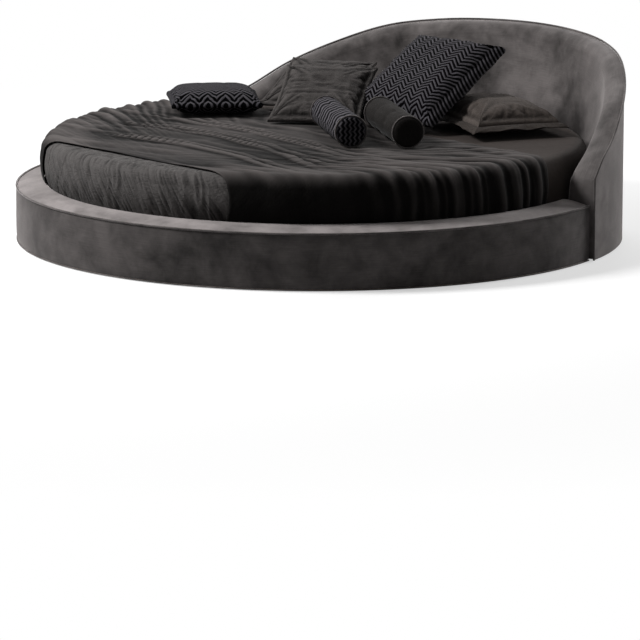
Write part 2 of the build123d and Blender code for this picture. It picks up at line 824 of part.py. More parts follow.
def seated(shape, place_shares, turn, lean, seat):
    """Turn and lean a shape, and set it down so that its lowest point is at the seat."""
    side = Vector(cos(radians(turn)), sin(radians(turn)), 0)
    up = Vector(-side.Y * cos(radians(lean)), side.X * cos(radians(lean)), sin(radians(lean)))
    normal = side.cross(up)
    moved = Plane(origin=(0, 0, 0), x_dir=side, z_dir=normal).location * shape
    low = moved.bounding_box().min.Z
    return (mattress_radius * place_shares[0], mattress_radius * place_shares[1], seat - low), side, normal


def cushion(name, length, width, loft_high, under_share, place_shares, turn, lean, seat, flange=0):
    """Cover and inner pad of one cushion, laid in its place."""
    over = loft_high * (1 - under_share)
    under = loft_high * under_share
    outer = stuffed(length - 2 * flange, width - 2 * flange, over, under)
    cloth = cushion_cloth
    room_size = (length - 2 * flange - 4 * cloth, width - 2 * flange - 4 * cloth)
    room = stuffed(*room_size, over - cloth, under - cloth)
    gap = cloth + fit
    pad = stuffed(room_size[0] - 4 * fit, room_size[1] - 4 * fit, over - gap, under - gap)
    if flange:
        rim = extrude(make_face(flange_outline(length, width)), flange_thickness / 2, both=True)
        outer = outer + rim
    origin, side, normal = seated(outer, place_shares, turn, lean, seat)
    place = Plane(origin=origin, x_dir=side, z_dir=normal).location
    save(f"{name}_cover", place * (outer - room))
    save(f"{name}_pad", place * pad)


def flange_outline(length, width):
    """Flat border of an Oxford pillowcase, drawn in a little along each side."""
    x = length / 2
    y = width / 2
    draw = flange_width / 4
    edges = ThreePointArc((x, y), (0, y - draw), (-x, y)) + ThreePointArc((-x, y), (draw - x, 0), (-x, -y))
    return edges + ThreePointArc((-x, -y), (0, draw - y), (x, -y)) + ThreePointArc((x, -y), (x - draw, 0), (x, y))


def bolster_outline(inset):
    """Half section of a bolster: three bays between its seams and flat, rounded ends."""
    ends = bolster_length / 2 - bolster_dome
    bay = 2 * ends / 3
    crown = bolster_radius - inset
    seam = crown - bolster_draw
    end_seam = crown - bolster_end_draw
    flat = end_seam * bolster_flat_share
    tip = ends + bolster_dome - inset
    out = ends - inset / 2
    bend = (out + (tip - out) * sqrt(0.5), end_seam - (end_seam - flat) * (1 - sqrt(0.5)))
    edges = Polyline((-tip, flat), (-tip, 0), (tip, 0), (tip, flat))
    edges += ThreePointArc((tip, flat), bend, (out, end_seam))
    edges += ThreePointArc((out, end_seam), ((out + bay / 2) / 2, crown), (bay / 2, seam))
    edges += ThreePointArc((bay / 2, seam), (0, crown), (-bay / 2, seam))
    edges += ThreePointArc((-bay / 2, seam), (-(out + bay / 2) / 2, crown), (-out, end_seam))
    return edges + ThreePointArc((-out, end_seam), (-bend[0], bend[1]), (-tip, flat))


def bolster(name, place_shares, turn):
    """Cover, inner roll and piped ends of one bolster."""
    outer, room, pad = (revolve(make_face(bolster_outline(inset)), Axis.X, 360)
                        for inset in (0, cushion_cloth, cushion_cloth + fit))
    radius = bolster_piping / 2
    beside = (radius + fit) * sqrt(0.5)
    ends = bolster_length / 2 - bolster_dome + beside
    piping_ring = Torus(bolster_radius - bolster_end_draw + beside, radius)
    rings = [Plane(origin=(sign * ends, 0, 0), z_dir=(1, 0, 0)).location * piping_ring for sign in (-1, 1)]
    low = outer.bounding_box().min.Z
    middle = (mattress_radius * place_shares[0], mattress_radius * place_shares[1])
    place = Pos(*middle, throw_top + rest_gap - low) * Rot(0, 0, turn)
    save(f"{name}_cover", place * (outer - room))
    save(f"{name}_pad", place * pad)
    save(f"{name}_piping", group([place * r for r in rings]))


def cushions():
    """All loose cushions and pillows in the places of the photograph."""
    on_throw = throw_top + rest_gap
    on_sheet = sheet_top + rest_gap
    cushion("large_woven_cushion", large_cushion, large_cushion, large_loft, 0.5, large_place_shares,
            large_turn, large_lean, on_sheet + large_rise)
    cushion("front_linen_cushion", square_cushion, square_cushion, square_loft, 0.5, front_place_shares,
            front_turn, front_lean, on_throw)
    cushion("back_linen_cushion", square_cushion, square_cushion, square_loft, 0.5, back_place_shares,
            back_turn, back_lean, on_throw + back_rise)
    cushion("small_woven_cushion", small_cushion, small_cushion, small_loft, 0.5, small_place_shares,
            small_turn, 0, on_throw)
    cushion("right_pillow", pillow_length, pillow_width, pillow_loft, pillow_under_share, right_place_shares,
            right_turn, 0, on_sheet, flange_width)
    cushion("left_pillow", pillow_length, pillow_width, squashed_pillow_loft, pillow_under_share, left_place_shares,
            left_turn, 0, on_sheet, flange_width)
    bolster("plain_bolster", plain_place_shares, plain_turn)
    bolster("woven_bolster", woven_place_shares, woven_turn)


base_boards()
base_padding()
base_piping()
slatted_base()
beams()
glides()
headboard_padding()
headboard_boards()
headboard_piping()
headboard_hem()
fixings()
mattress()
quilt()
throw()
cushions()
print(len(node_list), "nodes")
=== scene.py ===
import math

import bpy
import numpy as np
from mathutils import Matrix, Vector

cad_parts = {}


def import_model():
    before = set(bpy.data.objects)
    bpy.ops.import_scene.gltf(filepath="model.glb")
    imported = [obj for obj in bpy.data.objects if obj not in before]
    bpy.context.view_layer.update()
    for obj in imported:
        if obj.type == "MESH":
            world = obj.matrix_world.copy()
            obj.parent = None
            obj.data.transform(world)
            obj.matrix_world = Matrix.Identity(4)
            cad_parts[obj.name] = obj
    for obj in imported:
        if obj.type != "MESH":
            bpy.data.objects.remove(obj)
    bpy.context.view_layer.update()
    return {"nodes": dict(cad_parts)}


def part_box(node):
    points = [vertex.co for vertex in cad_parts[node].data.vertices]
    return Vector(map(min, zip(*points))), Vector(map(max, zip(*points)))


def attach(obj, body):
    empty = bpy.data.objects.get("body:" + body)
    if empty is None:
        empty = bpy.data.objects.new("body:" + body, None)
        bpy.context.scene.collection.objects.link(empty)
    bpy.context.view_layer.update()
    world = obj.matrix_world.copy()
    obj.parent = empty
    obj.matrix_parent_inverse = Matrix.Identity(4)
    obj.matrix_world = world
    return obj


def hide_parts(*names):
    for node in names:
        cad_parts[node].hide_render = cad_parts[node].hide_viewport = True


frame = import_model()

# Sizes in metres, the same as the frame's
BASE_RADIUS = 1.350
WELL_RADIUS = 1.213
HEADBOARD_RADIUS = 1.366
HEADBOARD_HEIGHT = 0.838
HALF_SPAN = math.radians(69.8)
FACE_RADIUS = 1.220
HEADBOARD_FOOT = 0.011
LOW_CORNER = math.sqrt(0.5)
BASE_START = math.radians(90) + HALF_SPAN + 0.010 / BASE_RADIUS
BASE_SPAN = 2 * (math.radians(270) - BASE_START)
MATTRESS_RADIUS = 1.2
MATTRESS_LOW = 0.1903
MATTRESS_TOP = 0.4463
SHEET_TOP = 0.4478
QUILT_TOP = 0.4631
QUILT_FLAT = 1.1628
QUILT_FOOT = 1.2108
SHOULDER = 0.058
THROW_ABOVE = 0.0038
THROW_FOOT = -1.050
THROW_HEAD = 0.262
THROW_LOW = 0.2695
OUTLINE = np.array([(0, 1), (0.2, 0.9905), (0.35, 0.969), (0.5, 0.923), (0.65, 0.822), (0.78, 0.709),
                    (0.88, 0.592), (0.95, 0.518), (1, 0.427)])

# Square cushions and pillows: size across and along, loft, share of the loft under the seam, fullness that the
# open face has on top, middle on the bed, turn and lean in degrees, border width, kind of cloth. A draw is the
# share by which a cover's sides are drawn in at their middle.
CUSHIONS = {
    "large_woven_cushion": (0.545, 0.545, 0.150, 0.5, 0.030, (0.0792, 0.5964), 0, 34, 0, "woven"),
    "front_linen_cushion": (0.430, 0.430, 0.116, 0.5, 0.012, (-0.26796, 0.26616), 35.6, 28, 0, "linen"),
    "back_linen_cushion": (0.430, 0.430, 0.116, 0.5, 0, (-0.5082, 0.4446), 24.9, 22.9, 0, "linen"),
    "small_woven_cushion": (0.420, 0.420, 0.104, 0.5, 0.020, (-0.79128, 0.05628), -35.8, 0, 0, "woven"),
    "right_pillow": (0.650, 0.460, 0.160, 0.38, 0, (0.366, 0.732), 160, 0, 0.034, "pillow"),
    "left_pillow": (0.650, 0.460, 0.123, 0.38, 0, (-0.54456, 0.65316), 23, 0, 0.034, "pillow"),
}
WOVEN_DRAW, LINEN_DRAW = 0.018, 0.065
BOLSTERS = {
    "plain_bolster": ((0.3552, 0.1368), 150, "plain"),
    "woven_bolster": ((0.1788, -0.0336), 149.2, "woven"),
}


# Noise
def noise(points, seed=0):
    """Smooth noise from -1 to 1: hashed values at whole-number corners, blended by 3t^2 - 2t^3."""
    cell = np.floor(points).astype(np.int64)
    t = points - cell
    t = t * t * (3 - 2 * t)
    total = np.zeros(points.shape[:-1])
    for corner in np.ndindex(2, 2, 2):
        k = cell + np.array(corner)
        h = k[..., 0] * 73856093 ^ k[..., 1] * 19349663 ^ k[..., 2] * 83492791 ^ (seed + 1) * 40503
        h = h & 0xFFFFFFFF
        h = ((h ^ (h >> 15)) * 22468225) & 0xFFFFFFFF
        h = ((h ^ (h >> 13)) * 32664899) & 0xFFFFFFFF
        value = ((h >> 8) & 0xFFFF) / 32767.5 - 1
        total += value * np.prod(np.where(np.array(corner) == 1, t, 1 - t), axis=-1)
    return total


def layered(points, seed=0, count=4):
    """Sum of noises, each twice as fine and half as high as the one before."""
    return sum(noise(points * 2 ** k, seed + k) / 2 ** k for k in range(count))


def crests(points, seed=0, soft=0.12):
    """Narrow crests where the noise passes zero: 1 - 2 sqrt(n^2 + soft^2), kept above -1."""
    n = noise(points, seed)
    return np.maximum(-1, 1 - 2 * np.sqrt(n * n + soft * soft))


def stack(*arrays):
    """Points from broadcast arrays of coordinates."""
    return np.stack(np.broadcast_arrays(*arrays), axis=-1).astype(float)


def pairs(first, second):
    """Two lines of numbers as the columns of a profile."""
    return np.stack([first, second], axis=1)


def around_axis(radius, angle, height):
    """Points at a radius and direction round the bed's axis, at a height."""
    return stack(radius * np.cos(angle), radius * np.sin(angle), height)


def round_turn(steps):
    """Steps through a quarter turn, without its start."""
    return np.linspace(0, np.pi / 2, steps)[1:]


def smooth_step(low, high, x):
    """0 below low, 1 above high, 3t^2 - 2t^3 between."""
    t = np.clip((x - low) / (high - low), 0, 1)
    return t * t * (3 - 2 * t)


# Meshes
def made(name, points, faces, uv, sharp=None):
    """Mesh object with its cloth measure as a UV map, and faces turned outwards."""
    points = points.reshape(-1, 3)
    mesh = bpy.data.meshes.new(name)
    mesh.from_pydata(points.tolist(), [], faces)
    layer = mesh.uv_layers.new(name="cloth")
    layer.data.foreach_set("uv", np.asarray(uv, np.float32).ravel())
    mesh.polygons.foreach_set("use_smooth", np.ones(len(faces), bool))
    normals = np.zeros(len(faces) * 3)
    centres = np.zeros(len(faces) * 3)
    areas = np.zeros(len(faces))
    mesh.polygons.foreach_get("normal", normals)
    mesh.polygons.foreach_get("center", centres)
    mesh.polygons.foreach_get("area", areas)
    outward = (normals.reshape(-1, 3) * (centres.reshape(-1, 3) - (0, 0, 0.2))).sum(1) @ areas
    if outward < 0:
        mesh.flip_normals()
    if sharp:
        mesh.set_sharp_from_angle(angle=math.radians(sharp))
    piece = bpy.data.objects.new(name, mesh)
    bpy.context.scene.collection.objects.link(piece)
    return piece


def quads(index):
    """Corner numbers of the quads of a grid of point numbers."""
    return np.stack([index[:-1, :-1], index[:-1, 1:], index[1:, 1:], index[1:, :-1]], axis=-1).reshape(-1, 4)


def store_painted_fold_light(piece, painted_light_marks):
    """Store the cloth's painted light at each point, from 0 for painted shade in a valley to 1 for a painted
    highlight on a crest.
    """
    layer = piece.data.attributes.new("fold", "FLOAT", "POINT")
    layer.data.foreach_set("value", np.clip(painted_light_marks, 0, 1).ravel().astype(np.float32))
    return piece


def surface(name, points, u, v, loop_rows=False, loop_columns=False, caps=False, poles=0, sharp=None):
    """Grid of points as a mesh. u and v are the cloth's measures; a loop joins last to first. Caps close the
    first and last column, when each column is a closed line. One pole closes the small ring of the first
    row, and two also that of the last."""
    rows, columns = points.shape[:2]
    index = np.arange(rows * columns).reshape(rows, columns)
    if loop_rows:
        index = np.vstack([index, index[:1]])
    if loop_columns:
        index = np.hstack([index, index[:, :1]])
    u, v = np.broadcast_arrays(u, v)
    measure = np.stack([u, v], axis=-1)[:index.shape[0], :index.shape[1]]
    faces = quads(index)
    corner = quads(np.arange(measure.shape[0] * measure.shape[1]).reshape(measure.shape[:2]))
    uv = measure.reshape(-1, 2)[corner.ravel()]
    faces = faces.tolist()
    if caps:
        first = index[:rows, 0]
        last = index[:rows, columns - 1]
        faces += [first.tolist(), last[::-1].tolist()]
        flat = measure[:rows, 0].copy()
        uv = np.vstack([uv, flat, flat[::-1]])
    for ring in (index[0, :columns][::-1], index[-1, :columns])[:poles]:
        faces.append(ring.tolist())
        uv = np.vstack([uv, points.reshape(-1, 3)[ring, :2]])
    return made(name, points, faces, uv, sharp)


def measure_along(line):
    """Length along a line of points, from its start."""
    step = np.linalg.norm(np.diff(line, axis=0), axis=1)
    return np.concatenate([[0], np.cumsum(step)])


def closed_length(line):
    """Length along a closed line, as a column."""
    return measure_along(np.vstack([line, line[:1]]))[:, None]


def sector(name, profile, angles, wobble, seed):
    """Closed profile of radii and heights carried round the bed's axis between two end caps.
    The radius moves in and out by a slow noise of the place."""
    radius, height = profile[:, :1], profile[:, 1:]
    points = around_axis(radius, angles, height)
    push = wobble * layered(points * 5, seed, 3)[..., None]
    points = points + push * around_axis(1 + 0 * radius, angles, 0)
    return surface(name, points, angles[None, :] * BASE_RADIUS, closed_length(profile), loop_rows=True,
                   caps=True, sharp=40)


def tube(name, path, out, radius, sides=12, closed=False):
    """Round tube: at each point of the path a circle in the plane of the outward direction, made square to
    the path, and of their cross product."""
    ahead = np.roll(path, -1, 0) - np.roll(path, 1, 0) if closed else np.gradient(path, axis=0)
    ahead = ahead / np.linalg.norm(ahead, axis=1, keepdims=True)
    out = out - ahead * (out * ahead).sum(1, keepdims=True)
    out = out / np.linalg.norm(out, axis=1, keepdims=True)
    side = np.cross(ahead, out)
    turn = np.linspace(0, 2 * np.pi, sides, endpoint=False)[:, None, None]
    points = path + radius * (np.cos(turn) * out + np.sin(turn) * side)
    length = measure_along(np.vstack([path, path[:1]]) if closed else path)
    v = np.linspace(0, 2 * np.pi * radius, sides + 1)[:, None]
    return surface(name, points, length[None, :], v, loop_rows=True, loop_columns=closed, caps=not closed,
                   sharp=60)


def joined(name, pieces):
    """Several meshes as one piece."""
    first = pieces[0]
    with bpy.context.temp_override(active_object=first, object=first, selected_editable_objects=pieces,
                                   selected_objects=pieces):
        bpy.ops.object.join()
    first.name = name
    return first


def finish_piece(piece, body, material, replaced=()):
    """Material, body and the nodes that a piece stands for."""
    piece.data.materials.clear()
    piece.data.materials.append(material)
    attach(piece, body)
    if replaced:
        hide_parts(*replaced)
    return piece


def arc_tube(name, radius, angles, height, size):
    """Tube round the bed's axis."""
    return tube(name, around_axis(radius, angles, height), around_axis(1, angles, 0), size)


# Base
def base_angles():
    """Directions of the base's columns, from one side of the headboard round the foot to the other."""
    return BASE_START + BASE_SPAN * np.linspace(0, 1, 640)


def base_side():
    """Padded velvet side: an upright band, drawn in along both pipings by a sixth power of the height."""
    height = np.linspace(-1, 1, 30)
    outer = pairs(BASE_RADIUS - 0.0030 * height ** 6, 0.1253 + 0.1150 * height)
    inner = np.array([(1.3425, 0.2405), (1.3425, 0.0100)])
    return sector("base_side", np.vstack([outer, inner]), base_angles(), 0.0006, 3)


def base_ledge():
    """Padded ledge: a low crown, a rounded inner edge and a flap down into the well."""
    rim, corner, flap_low, board_top = 1.3415, 0.0096, 0.1990, 0.2352
    start = WELL_RADIUS + corner
    t = np.linspace(0, 1, 26)
    crown = pairs(rim + (start - rim) * t, 0.2440 + 0.0220 * np.sin(t * np.pi / 2) ** 0.9)
    a = round_turn(8)
    edge = pairs(start - corner * np.sin(a), 0.2564 + corner * np.cos(a))
    fall = pairs(np.full(7, WELL_RADIUS), np.linspace(0.2500, flap_low, 7))
    back = np.array([(1.2147, flap_low), (1.2147, board_top), (1.2600, board_top), (rim, board_top)])
    return sector("base_ledge", np.vstack([crown, edge, fall, back]), base_angles(), 0.0008, 5)


def base_piping(name, radius, height, size):
    """Piping round the base at one radius and height."""
    return arc_tube(name, radius, base_angles(), height, size)


# Headboard
def outline_height(share):
    """Height of the headboard at a share of its half span: cubic pieces through the outline's points,
    with the slope at each point from its neighbours."""
    s, h = OUTLINE[:, 0], OUTLINE[:, 1]
    slope = np.concatenate([[0], (h[2:] - h[:-2]) / (s[2:] - s[:-2]), [(h[-1] - h[-2]) / (s[-1] - s[-2])]])
    share = np.clip(np.abs(share), 0, 1)
    k = np.clip(np.searchsorted(s, share) - 1, 0, len(s) - 2)
    run = s[k + 1] - s[k]
    t = (share - s[k]) / run
    value = h[k] * (1 + 2 * t) * (1 - t) ** 2 + h[k + 1] * t * t * (3 - 2 * t)
    return HEADBOARD_HEIGHT * (value + run * (slope[k] * t * (1 - t) ** 2 - slope[k + 1] * t * t * (1 - t)))


def headboard_angles():
    """Directions of the headboard's columns, closer together at its rounded ends."""
    t = np.linspace(-1, 1, 361)
    return HALF_SPAN * np.sin(t * np.pi / 2) * 0.35 + HALF_SPAN * t * 0.65


def headboard_shell(name, points, angle):
    """Closed shell of the headboard's columns, measured along the column in its middle."""
    v = closed_length(points[:, points.shape[1] // 2])
    return surface(name, points, angle * HEADBOARD_RADIUS, v, loop_rows=True, caps=True, sharp=45)


def headboard_inner():
    """Padded inner side: a leaning face with radius 1.220 + 0.15 (z - 0.268), rolled over to the back along
    the outline by a quarter ellipse, and rounded in plan at both ends by another."""
    angle = headboard_angles()[None, :]
    top = outline_height(angle / HALF_SPAN)
    back = 1.3643
    drop = 0.062
    lean = lambda z: FACE_RADIUS + 0.15 * (z - 0.268)
    rim_low = top - drop
    rim_radius = lean(rim_low)
    up = np.linspace(0, 1, 14)[:, None]
    turn = np.linspace(np.pi / 2, 0, 18)[1:, None]
    down = np.linspace(0, 1, 46)[1:, None]
    face = rim_low + (0.2355 - rim_low) * down
    step = np.array([[0.2350], [HEADBOARD_FOOT]]) + 0 * angle
    radius = np.vstack([back + 0 * (up + angle), back - (back - rim_radius) * np.cos(turn), lean(face),
                        1.2271 + 0 * step])
    height = np.vstack([HEADBOARD_FOOT + (top - HEADBOARD_FOOT) * up, rim_low + drop * np.sin(turn), face,
                        step])
    inward = (HALF_SPAN - np.abs(angle)) * FACE_RADIUS
    plan = 1.336 - 0.116 * np.sqrt(np.clip(1 - (1 - np.clip(inward / 0.045, 0, 1)) ** 2, 0, 1))
    radius = 0.5 * (radius + plan + np.sqrt((radius - plan) ** 2 + 0.014 ** 2))
    radius = np.minimum(radius, back)
    a = np.pi / 2 + angle
    points = around_axis(radius, a, height)
    soft = np.zeros_like(radius)
    soft[14:-3] = 1
    push = 0.0022 * layered(points * 4, 11, 3) * soft * smooth_step(0, 0.05, back - radius)
    points = points - push[..., None] * around_axis(1 + 0 * radius, a, 0)
    return headboard_shell("headboard_inner", points, angle)


def headboard_outer():
    """Velvet over the back of the headboard, a thin band that follows the outline."""
    angle = headboard_angles()[None, :]
    top = outline_height(angle / HALF_SPAN)
    up = np.linspace(0, 1, 40)[:, None]
    height = np.vstack([HEADBOARD_FOOT + (top - HEADBOARD_FOOT) * up, top, HEADBOARD_FOOT + 0 * top])
    radius = np.vstack([HEADBOARD_RADIUS + 0 * (up + angle), 1.3646 + 0 * angle, 1.3646 + 0 * angle])
    return headboard_shell("headboard_outer", around_axis(radius, np.pi / 2 + angle, height), angle)


def headboard_piping():
    """Piping up one end edge, along the outline and down the other end edge."""
    share = np.linspace(-1, 1, 421)
    reach = 0.0048
    stretch = np.hypot(1, np.gradient(outline_height(share), share * HALF_SPAN * HEADBOARD_RADIUS))
    over = outline_height(share) + reach * stretch * LOW_CORNER
    half = HALF_SPAN + reach * LOW_CORNER / HEADBOARD_RADIUS
    rise = np.linspace(0.006, over[0] - 0.004, 40)
    angle = np.pi / 2 + np.concatenate([np.full(40, -half), half * share, np.full(40, half)])
    height = np.concatenate([rise, over, rise[::-1]])
    return arc_tube("headboard_edge_piping", HEADBOARD_RADIUS + reach * LOW_CORNER, angle, height, 0.0045)


def headboard_hem():
    """Thin piping along the floor under the headboard's outer side."""
    half = HALF_SPAN - 0.0045 / HEADBOARD_RADIUS
    a = np.pi / 2 + half * np.linspace(-1, 1, 260)
    return arc_tube("headboard_hem", 1.3633, a, 0.0077, 0.0030)


# Mattress and bedding
def bed_profile(top_radius, corner, top, side_radii, side_heights):
    """Radius and height from the middle of the top over the rounded edge and down the side."""
    flat = np.linspace(0.02, top_radius - corner, 60)
    a = round_turn(12)
    edge = pairs(top_radius - corner + corner * np.sin(a), top - corner + corner * np.cos(a))
    return np.vstack([pairs(flat, np.full(60, top)), edge, pairs(side_radii, side_heights)])


def quilt_side(grow, low, count):
    """Bellied side of the quilt: the parabola through its foot, its belly and its shoulder."""
    top = QUILT_TOP + grow
    foot, shoulder = (QUILT_FOOT + grow, 0.260), (QUILT_FLAT + SHOULDER + grow, top - SHOULDER)
    belly = (1.2248 + grow, foot[1] + (shoulder[1] - foot[1]) * 0.42)
    z = np.linspace(shoulder[1], max(low, foot[1]), count + 1)[1:]
    fit = np.polyfit([foot[1], belly[1], shoulder[1]], [foot[0], belly[0], shoulder[0]], 2)
    return np.polyval(fit, z), z


def mattress():
    """Round mattress in its ticking, with its upper and lower edges rounded."""
    a, b, corner = np.linspace(0, np.pi / 2, 14), np.linspace(0, np.pi / 2, 8), 0.024
    upper = pairs(MATTRESS_RADIUS + SHOULDER * (np.sin(a) - 1), MATTRESS_TOP + SHOULDER * (np.cos(a) - 1))
    wall = pairs(np.full(12, MATTRESS_RADIUS), np.linspace(0.380, 0.2150, 12))
    lower = pairs(MATTRESS_RADIUS + corner * (np.cos(b) - 1), MATTRESS_LOW + corner * (1 - np.sin(b)))
    flat = np.linspace(0.02, 1.10, 14)
    profile = np.vstack([pairs(flat, np.full(14, MATTRESS_TOP)), upper, wall, lower,
                         pairs(flat[::-1], np.full(14, MATTRESS_LOW))])
    angle = np.linspace(0, 2 * np.pi, 240, endpoint=False)
    points = around_axis(profile[:, :1], angle, profile[:, 1:])
    return surface("mattress", points, np.append(angle, 2 * np.pi)[None, :] * MATTRESS_RADIUS,
                   measure_along(profile)[:, None], loop_columns=True, poles=2)


def normals_of(points):
    """Unit normals of a grid of points, from the cross product of its two directions, upwards on the whole."""
    down = np.gradient(points, axis=0)
    across = np.gradient(points, axis=1)
    n = np.cross(down, across)
    n = n / np.maximum(np.linalg.norm(n, axis=-1, keepdims=True), 1e-12)
    return n if n[..., 2].sum() > 0 else -n


def resting_mask(x, y):
    """0 under and close to the pieces that lie on the bedding, 1 away from them."""
    mask = np.ones(np.broadcast(x, y).shape)
    spots = []
    for size_x, size_y, _, _, _, (cx, cy), turn, lean, _, _ in CUSHIONS.values():
        spots.append((cx, cy, math.radians(turn), size_x / 2, size_y / 2 * math.cos(math.radians(lean))))
    for (cx, cy), turn, _ in BOLSTERS.values():
        spots.append((cx, cy, math.radians(turn), 0.31, 0.05))
    for cx, cy, turn, half_x, half_y in spots:
        along = (x - cx) * math.cos(turn) + (y - cy) * math.sin(turn)
        beside = -(x - cx) * math.sin(turn) + (y - cy) * math.cos(turn)
        away = np.hypot(np.maximum(np.abs(along) - half_x, 0), np.maximum(np.abs(beside) - half_y, 0))
        mask = mask * smooth_step(0.0, 0.07, away)
    return mask


def fitted_sheet():
    """Smooth sheet drawn over the mattress, with slack wrinkles at the head and towards its edge."""
    around, thick = MATTRESS_RADIUS + 0.0015, SHOULDER + 0.0015
    profile = bed_profile(around, thick, SHEET_TOP, np.full(14, around), np.linspace(0.3700, 0.2303, 14))
    angle = np.linspace(0, 2 * np.pi, 420, endpoint=False)
    radius, height = profile[:, :1], profile[:, 1:]
    points = around_axis(radius, angle, height)
    x, y = points[..., 0], points[..., 1]
    path = measure_along(profile)[:, None]
    open_part = smooth_step(0.30, 0.40, y) * resting_mask(x, y) * smooth_step(0.05, 0.3, radius)
    slack = crests(stack(angle * 6 + 0.5 * np.sin(path * 9), path * 2.2, 0.5), 21)
    slack = np.maximum(slack + 0.5 * layered(points * 9, 4, 3), -0.2)
    fall = smooth_step(1.13, 1.19, radius) * (1 + 0 * angle)
    points = points + normals_of(points) * ((0.0016 + 0.0014 * fall) * slack * open_part)[..., None]
    return surface("fitted_sheet_cloth", points, np.append(angle, 2 * np.pi)[None, :] * MATTRESS_RADIUS, path,
                   loop_columns=True, poles=1)


def over_edge(grow, steps, radii, heights):
    """Profile from the top's rounded edge down a side."""
    a = round_turn(steps)
    edge = pairs(QUILT_FLAT + grow + SHOULDER * np.sin(a), QUILT_TOP + grow - SHOULDER * (1 - np.cos(a)))
    return np.vstack([edge, pairs(radii, heights)])


def throw_grid():
    """Grid of the throw before its folds. Rows are at distances along the bed; columns run from one lower edge
    over the bed to the other. On the top the distance across is a share of the half chord; down the side the
    radius follows the quilt's profile."""
    y = np.linspace(THROW_FOOT, THROW_HEAD, 256)
    fall = over_edge(THROW_ABOVE, 14, *quilt_side(THROW_ABOVE, THROW_LOW, 26))
    fall_r, fall_z = fall.T
    top = QUILT_TOP + THROW_ABOVE
    share = np.linspace(0, 1, 150)
    crown = QUILT_FLAT + THROW_ABOVE
    half = np.sqrt(crown ** 2 - y ** 2)[:, None]
    x_top = half * share
    z_top = np.full_like(x_top, top)
    x_fall = np.sqrt(fall_r[None, :] ** 2 - y[:, None] ** 2)
    x = np.hstack([x_top, x_fall])
    z = np.hstack([z_top, np.broadcast_to(fall_z, x_fall.shape)])
    length = np.hstack([x_top, half + measure_along(fall)[None, :] + (fall_r[0] - crown)])
    x, s = (np.hstack([-line[:, :0:-1], line]) for line in (x, length))
    z = np.hstack([z[:, :0:-1], z])
    return stack(x, y[:, None], z), s, y[:, None] + 0 * s, half + 0 * s


PLEATS = (
    ((-0.864, -0.258), (-0.516, -0.27), (-0.24, -0.24), (0.211, -0.31), (0.672, -0.378)),
    ((-0.84, -0.504), (-0.396, -0.438), (-0.084, -0.432), (0.396, -0.564), (0.756, -0.672)),
    ((-0.6, -0.792), (-0.24, -0.72), (0.156, -0.702), (0.408, -0.744), (0.72, -0.84)),
)


def throw_folds(s, y, half):
    """Height of the throw's folds above its lying surface, in metres. Sharp folds run across the edge and
    down, fewer near the foot; on the top, narrow pleats follow their crest lines, with small gathers
    across them like the rungs of a ladder."""
    plane = lambda a, b, c=0.0: stack(s * a, y * b, c)
    over = np.abs(s) - half
    drift = noise(plane(1.6, 2.2), 41)
    inside = np.maximum(-over, 0)
    sweep = 0.80 * inside ** 2 / (inside + 0.10) - 0.10 * np.maximum(over, 0)
    row = y + sweep + 0.030 * drift + 0.007 * noise(plane(7, 9), 42)
    lively = 0.22 + 0.78 * smooth_step(-0.80, -0.40, y + 0.1 * drift)
    height = np.zeros_like(s)
    for k, (period, amount, soft) in enumerate(((0.094, 0.0125, 0.10), (0.051, 0.0062, 0.14))):
        wave = np.sin(np.pi * (row / period + 1.2 * noise(plane(0.7, 2.6, 2 + k), 43 + k)))
        crest = 1 - 1.3 * np.sqrt(wave * wave + soft * soft)
        uneven = noise(stack(s * 1.2, row * 12, 8.0 + k), 51 + k)
        reach = smooth_step(-0.85, -0.04, over + 0.30 * noise(stack(0 * s, row * 10, 5.0 + k), 47 + k))
        height = height + amount * crest * reach * (0.62 + 0.38 * uneven) * lively
    for k, line in enumerate(PLEATS):
        cx, cy = np.array(line).T
        bend = sum(np.interp(s + shift, cx, cy) for shift in np.linspace(-0.16, 0.16, 9)) / 9
        off = y - bend - 0.010 * noise(plane(4, 0, k), 46)
        ends = smooth_step(cx[0] - 0.05, cx[0] + 0.2, s) * (1 - smooth_step(cx[-1] - 0.25, cx[-1] + 0.2, s))
        for apart, share in ((0.0, 1.0), (0.062, 0.7)):
            near = off - apart - 0.006 * noise(plane(5, 0, 9 + k + apart), 53)
            rung = smooth_step(-0.3, 0.5, np.sin(2 * np.pi * (s / 0.043 + 0.9 * noise(plane(3, 3, 7 + k), 54))))
            gather = smooth_step(0.62, 0.35, np.abs(s + 0.05 + 0.25 * k)) * ends
            band = np.exp(-(near / 0.017) ** 4)
            height = height + 0.0095 * share * band * ends * (1 - 0.85 * gather * rung)
            height = height + 0.0040 * share * np.exp(-((np.abs(near) - 0.018) / 0.006) ** 2) * ends
    thin = np.maximum(crests(stack(row * 9, s * 0.7, 6.5), 56, 0.05), 0)
    height = height + 0.0075 * thin * smooth_step(-0.45, 0.0, over)
    crease = crests(plane(1.7, 13, 9) + 0.35 * stack(drift, drift, 0), 48, 0.16)
    diagonal = crests(stack((s + 0.7 * y) * 3.0, (y - 0.3 * s) * 10, 12.0), 49, 0.2)
    height = height + (0.0066 * crease + 0.0050 * diagonal) * (1 - 0.6 * smooth_step(-0.2, 0.02, over))
    height = height + 0.0007 * noise(plane(26, 40), 50)
    hem = np.minimum(y - THROW_FOOT, THROW_HEAD - y)
    height = height * (0.5 + 0.5 * smooth_step(0, 0.05, hem)) + 0.0016 * np.exp(-(hem / 0.006) ** 2)
    return height + 0.0018


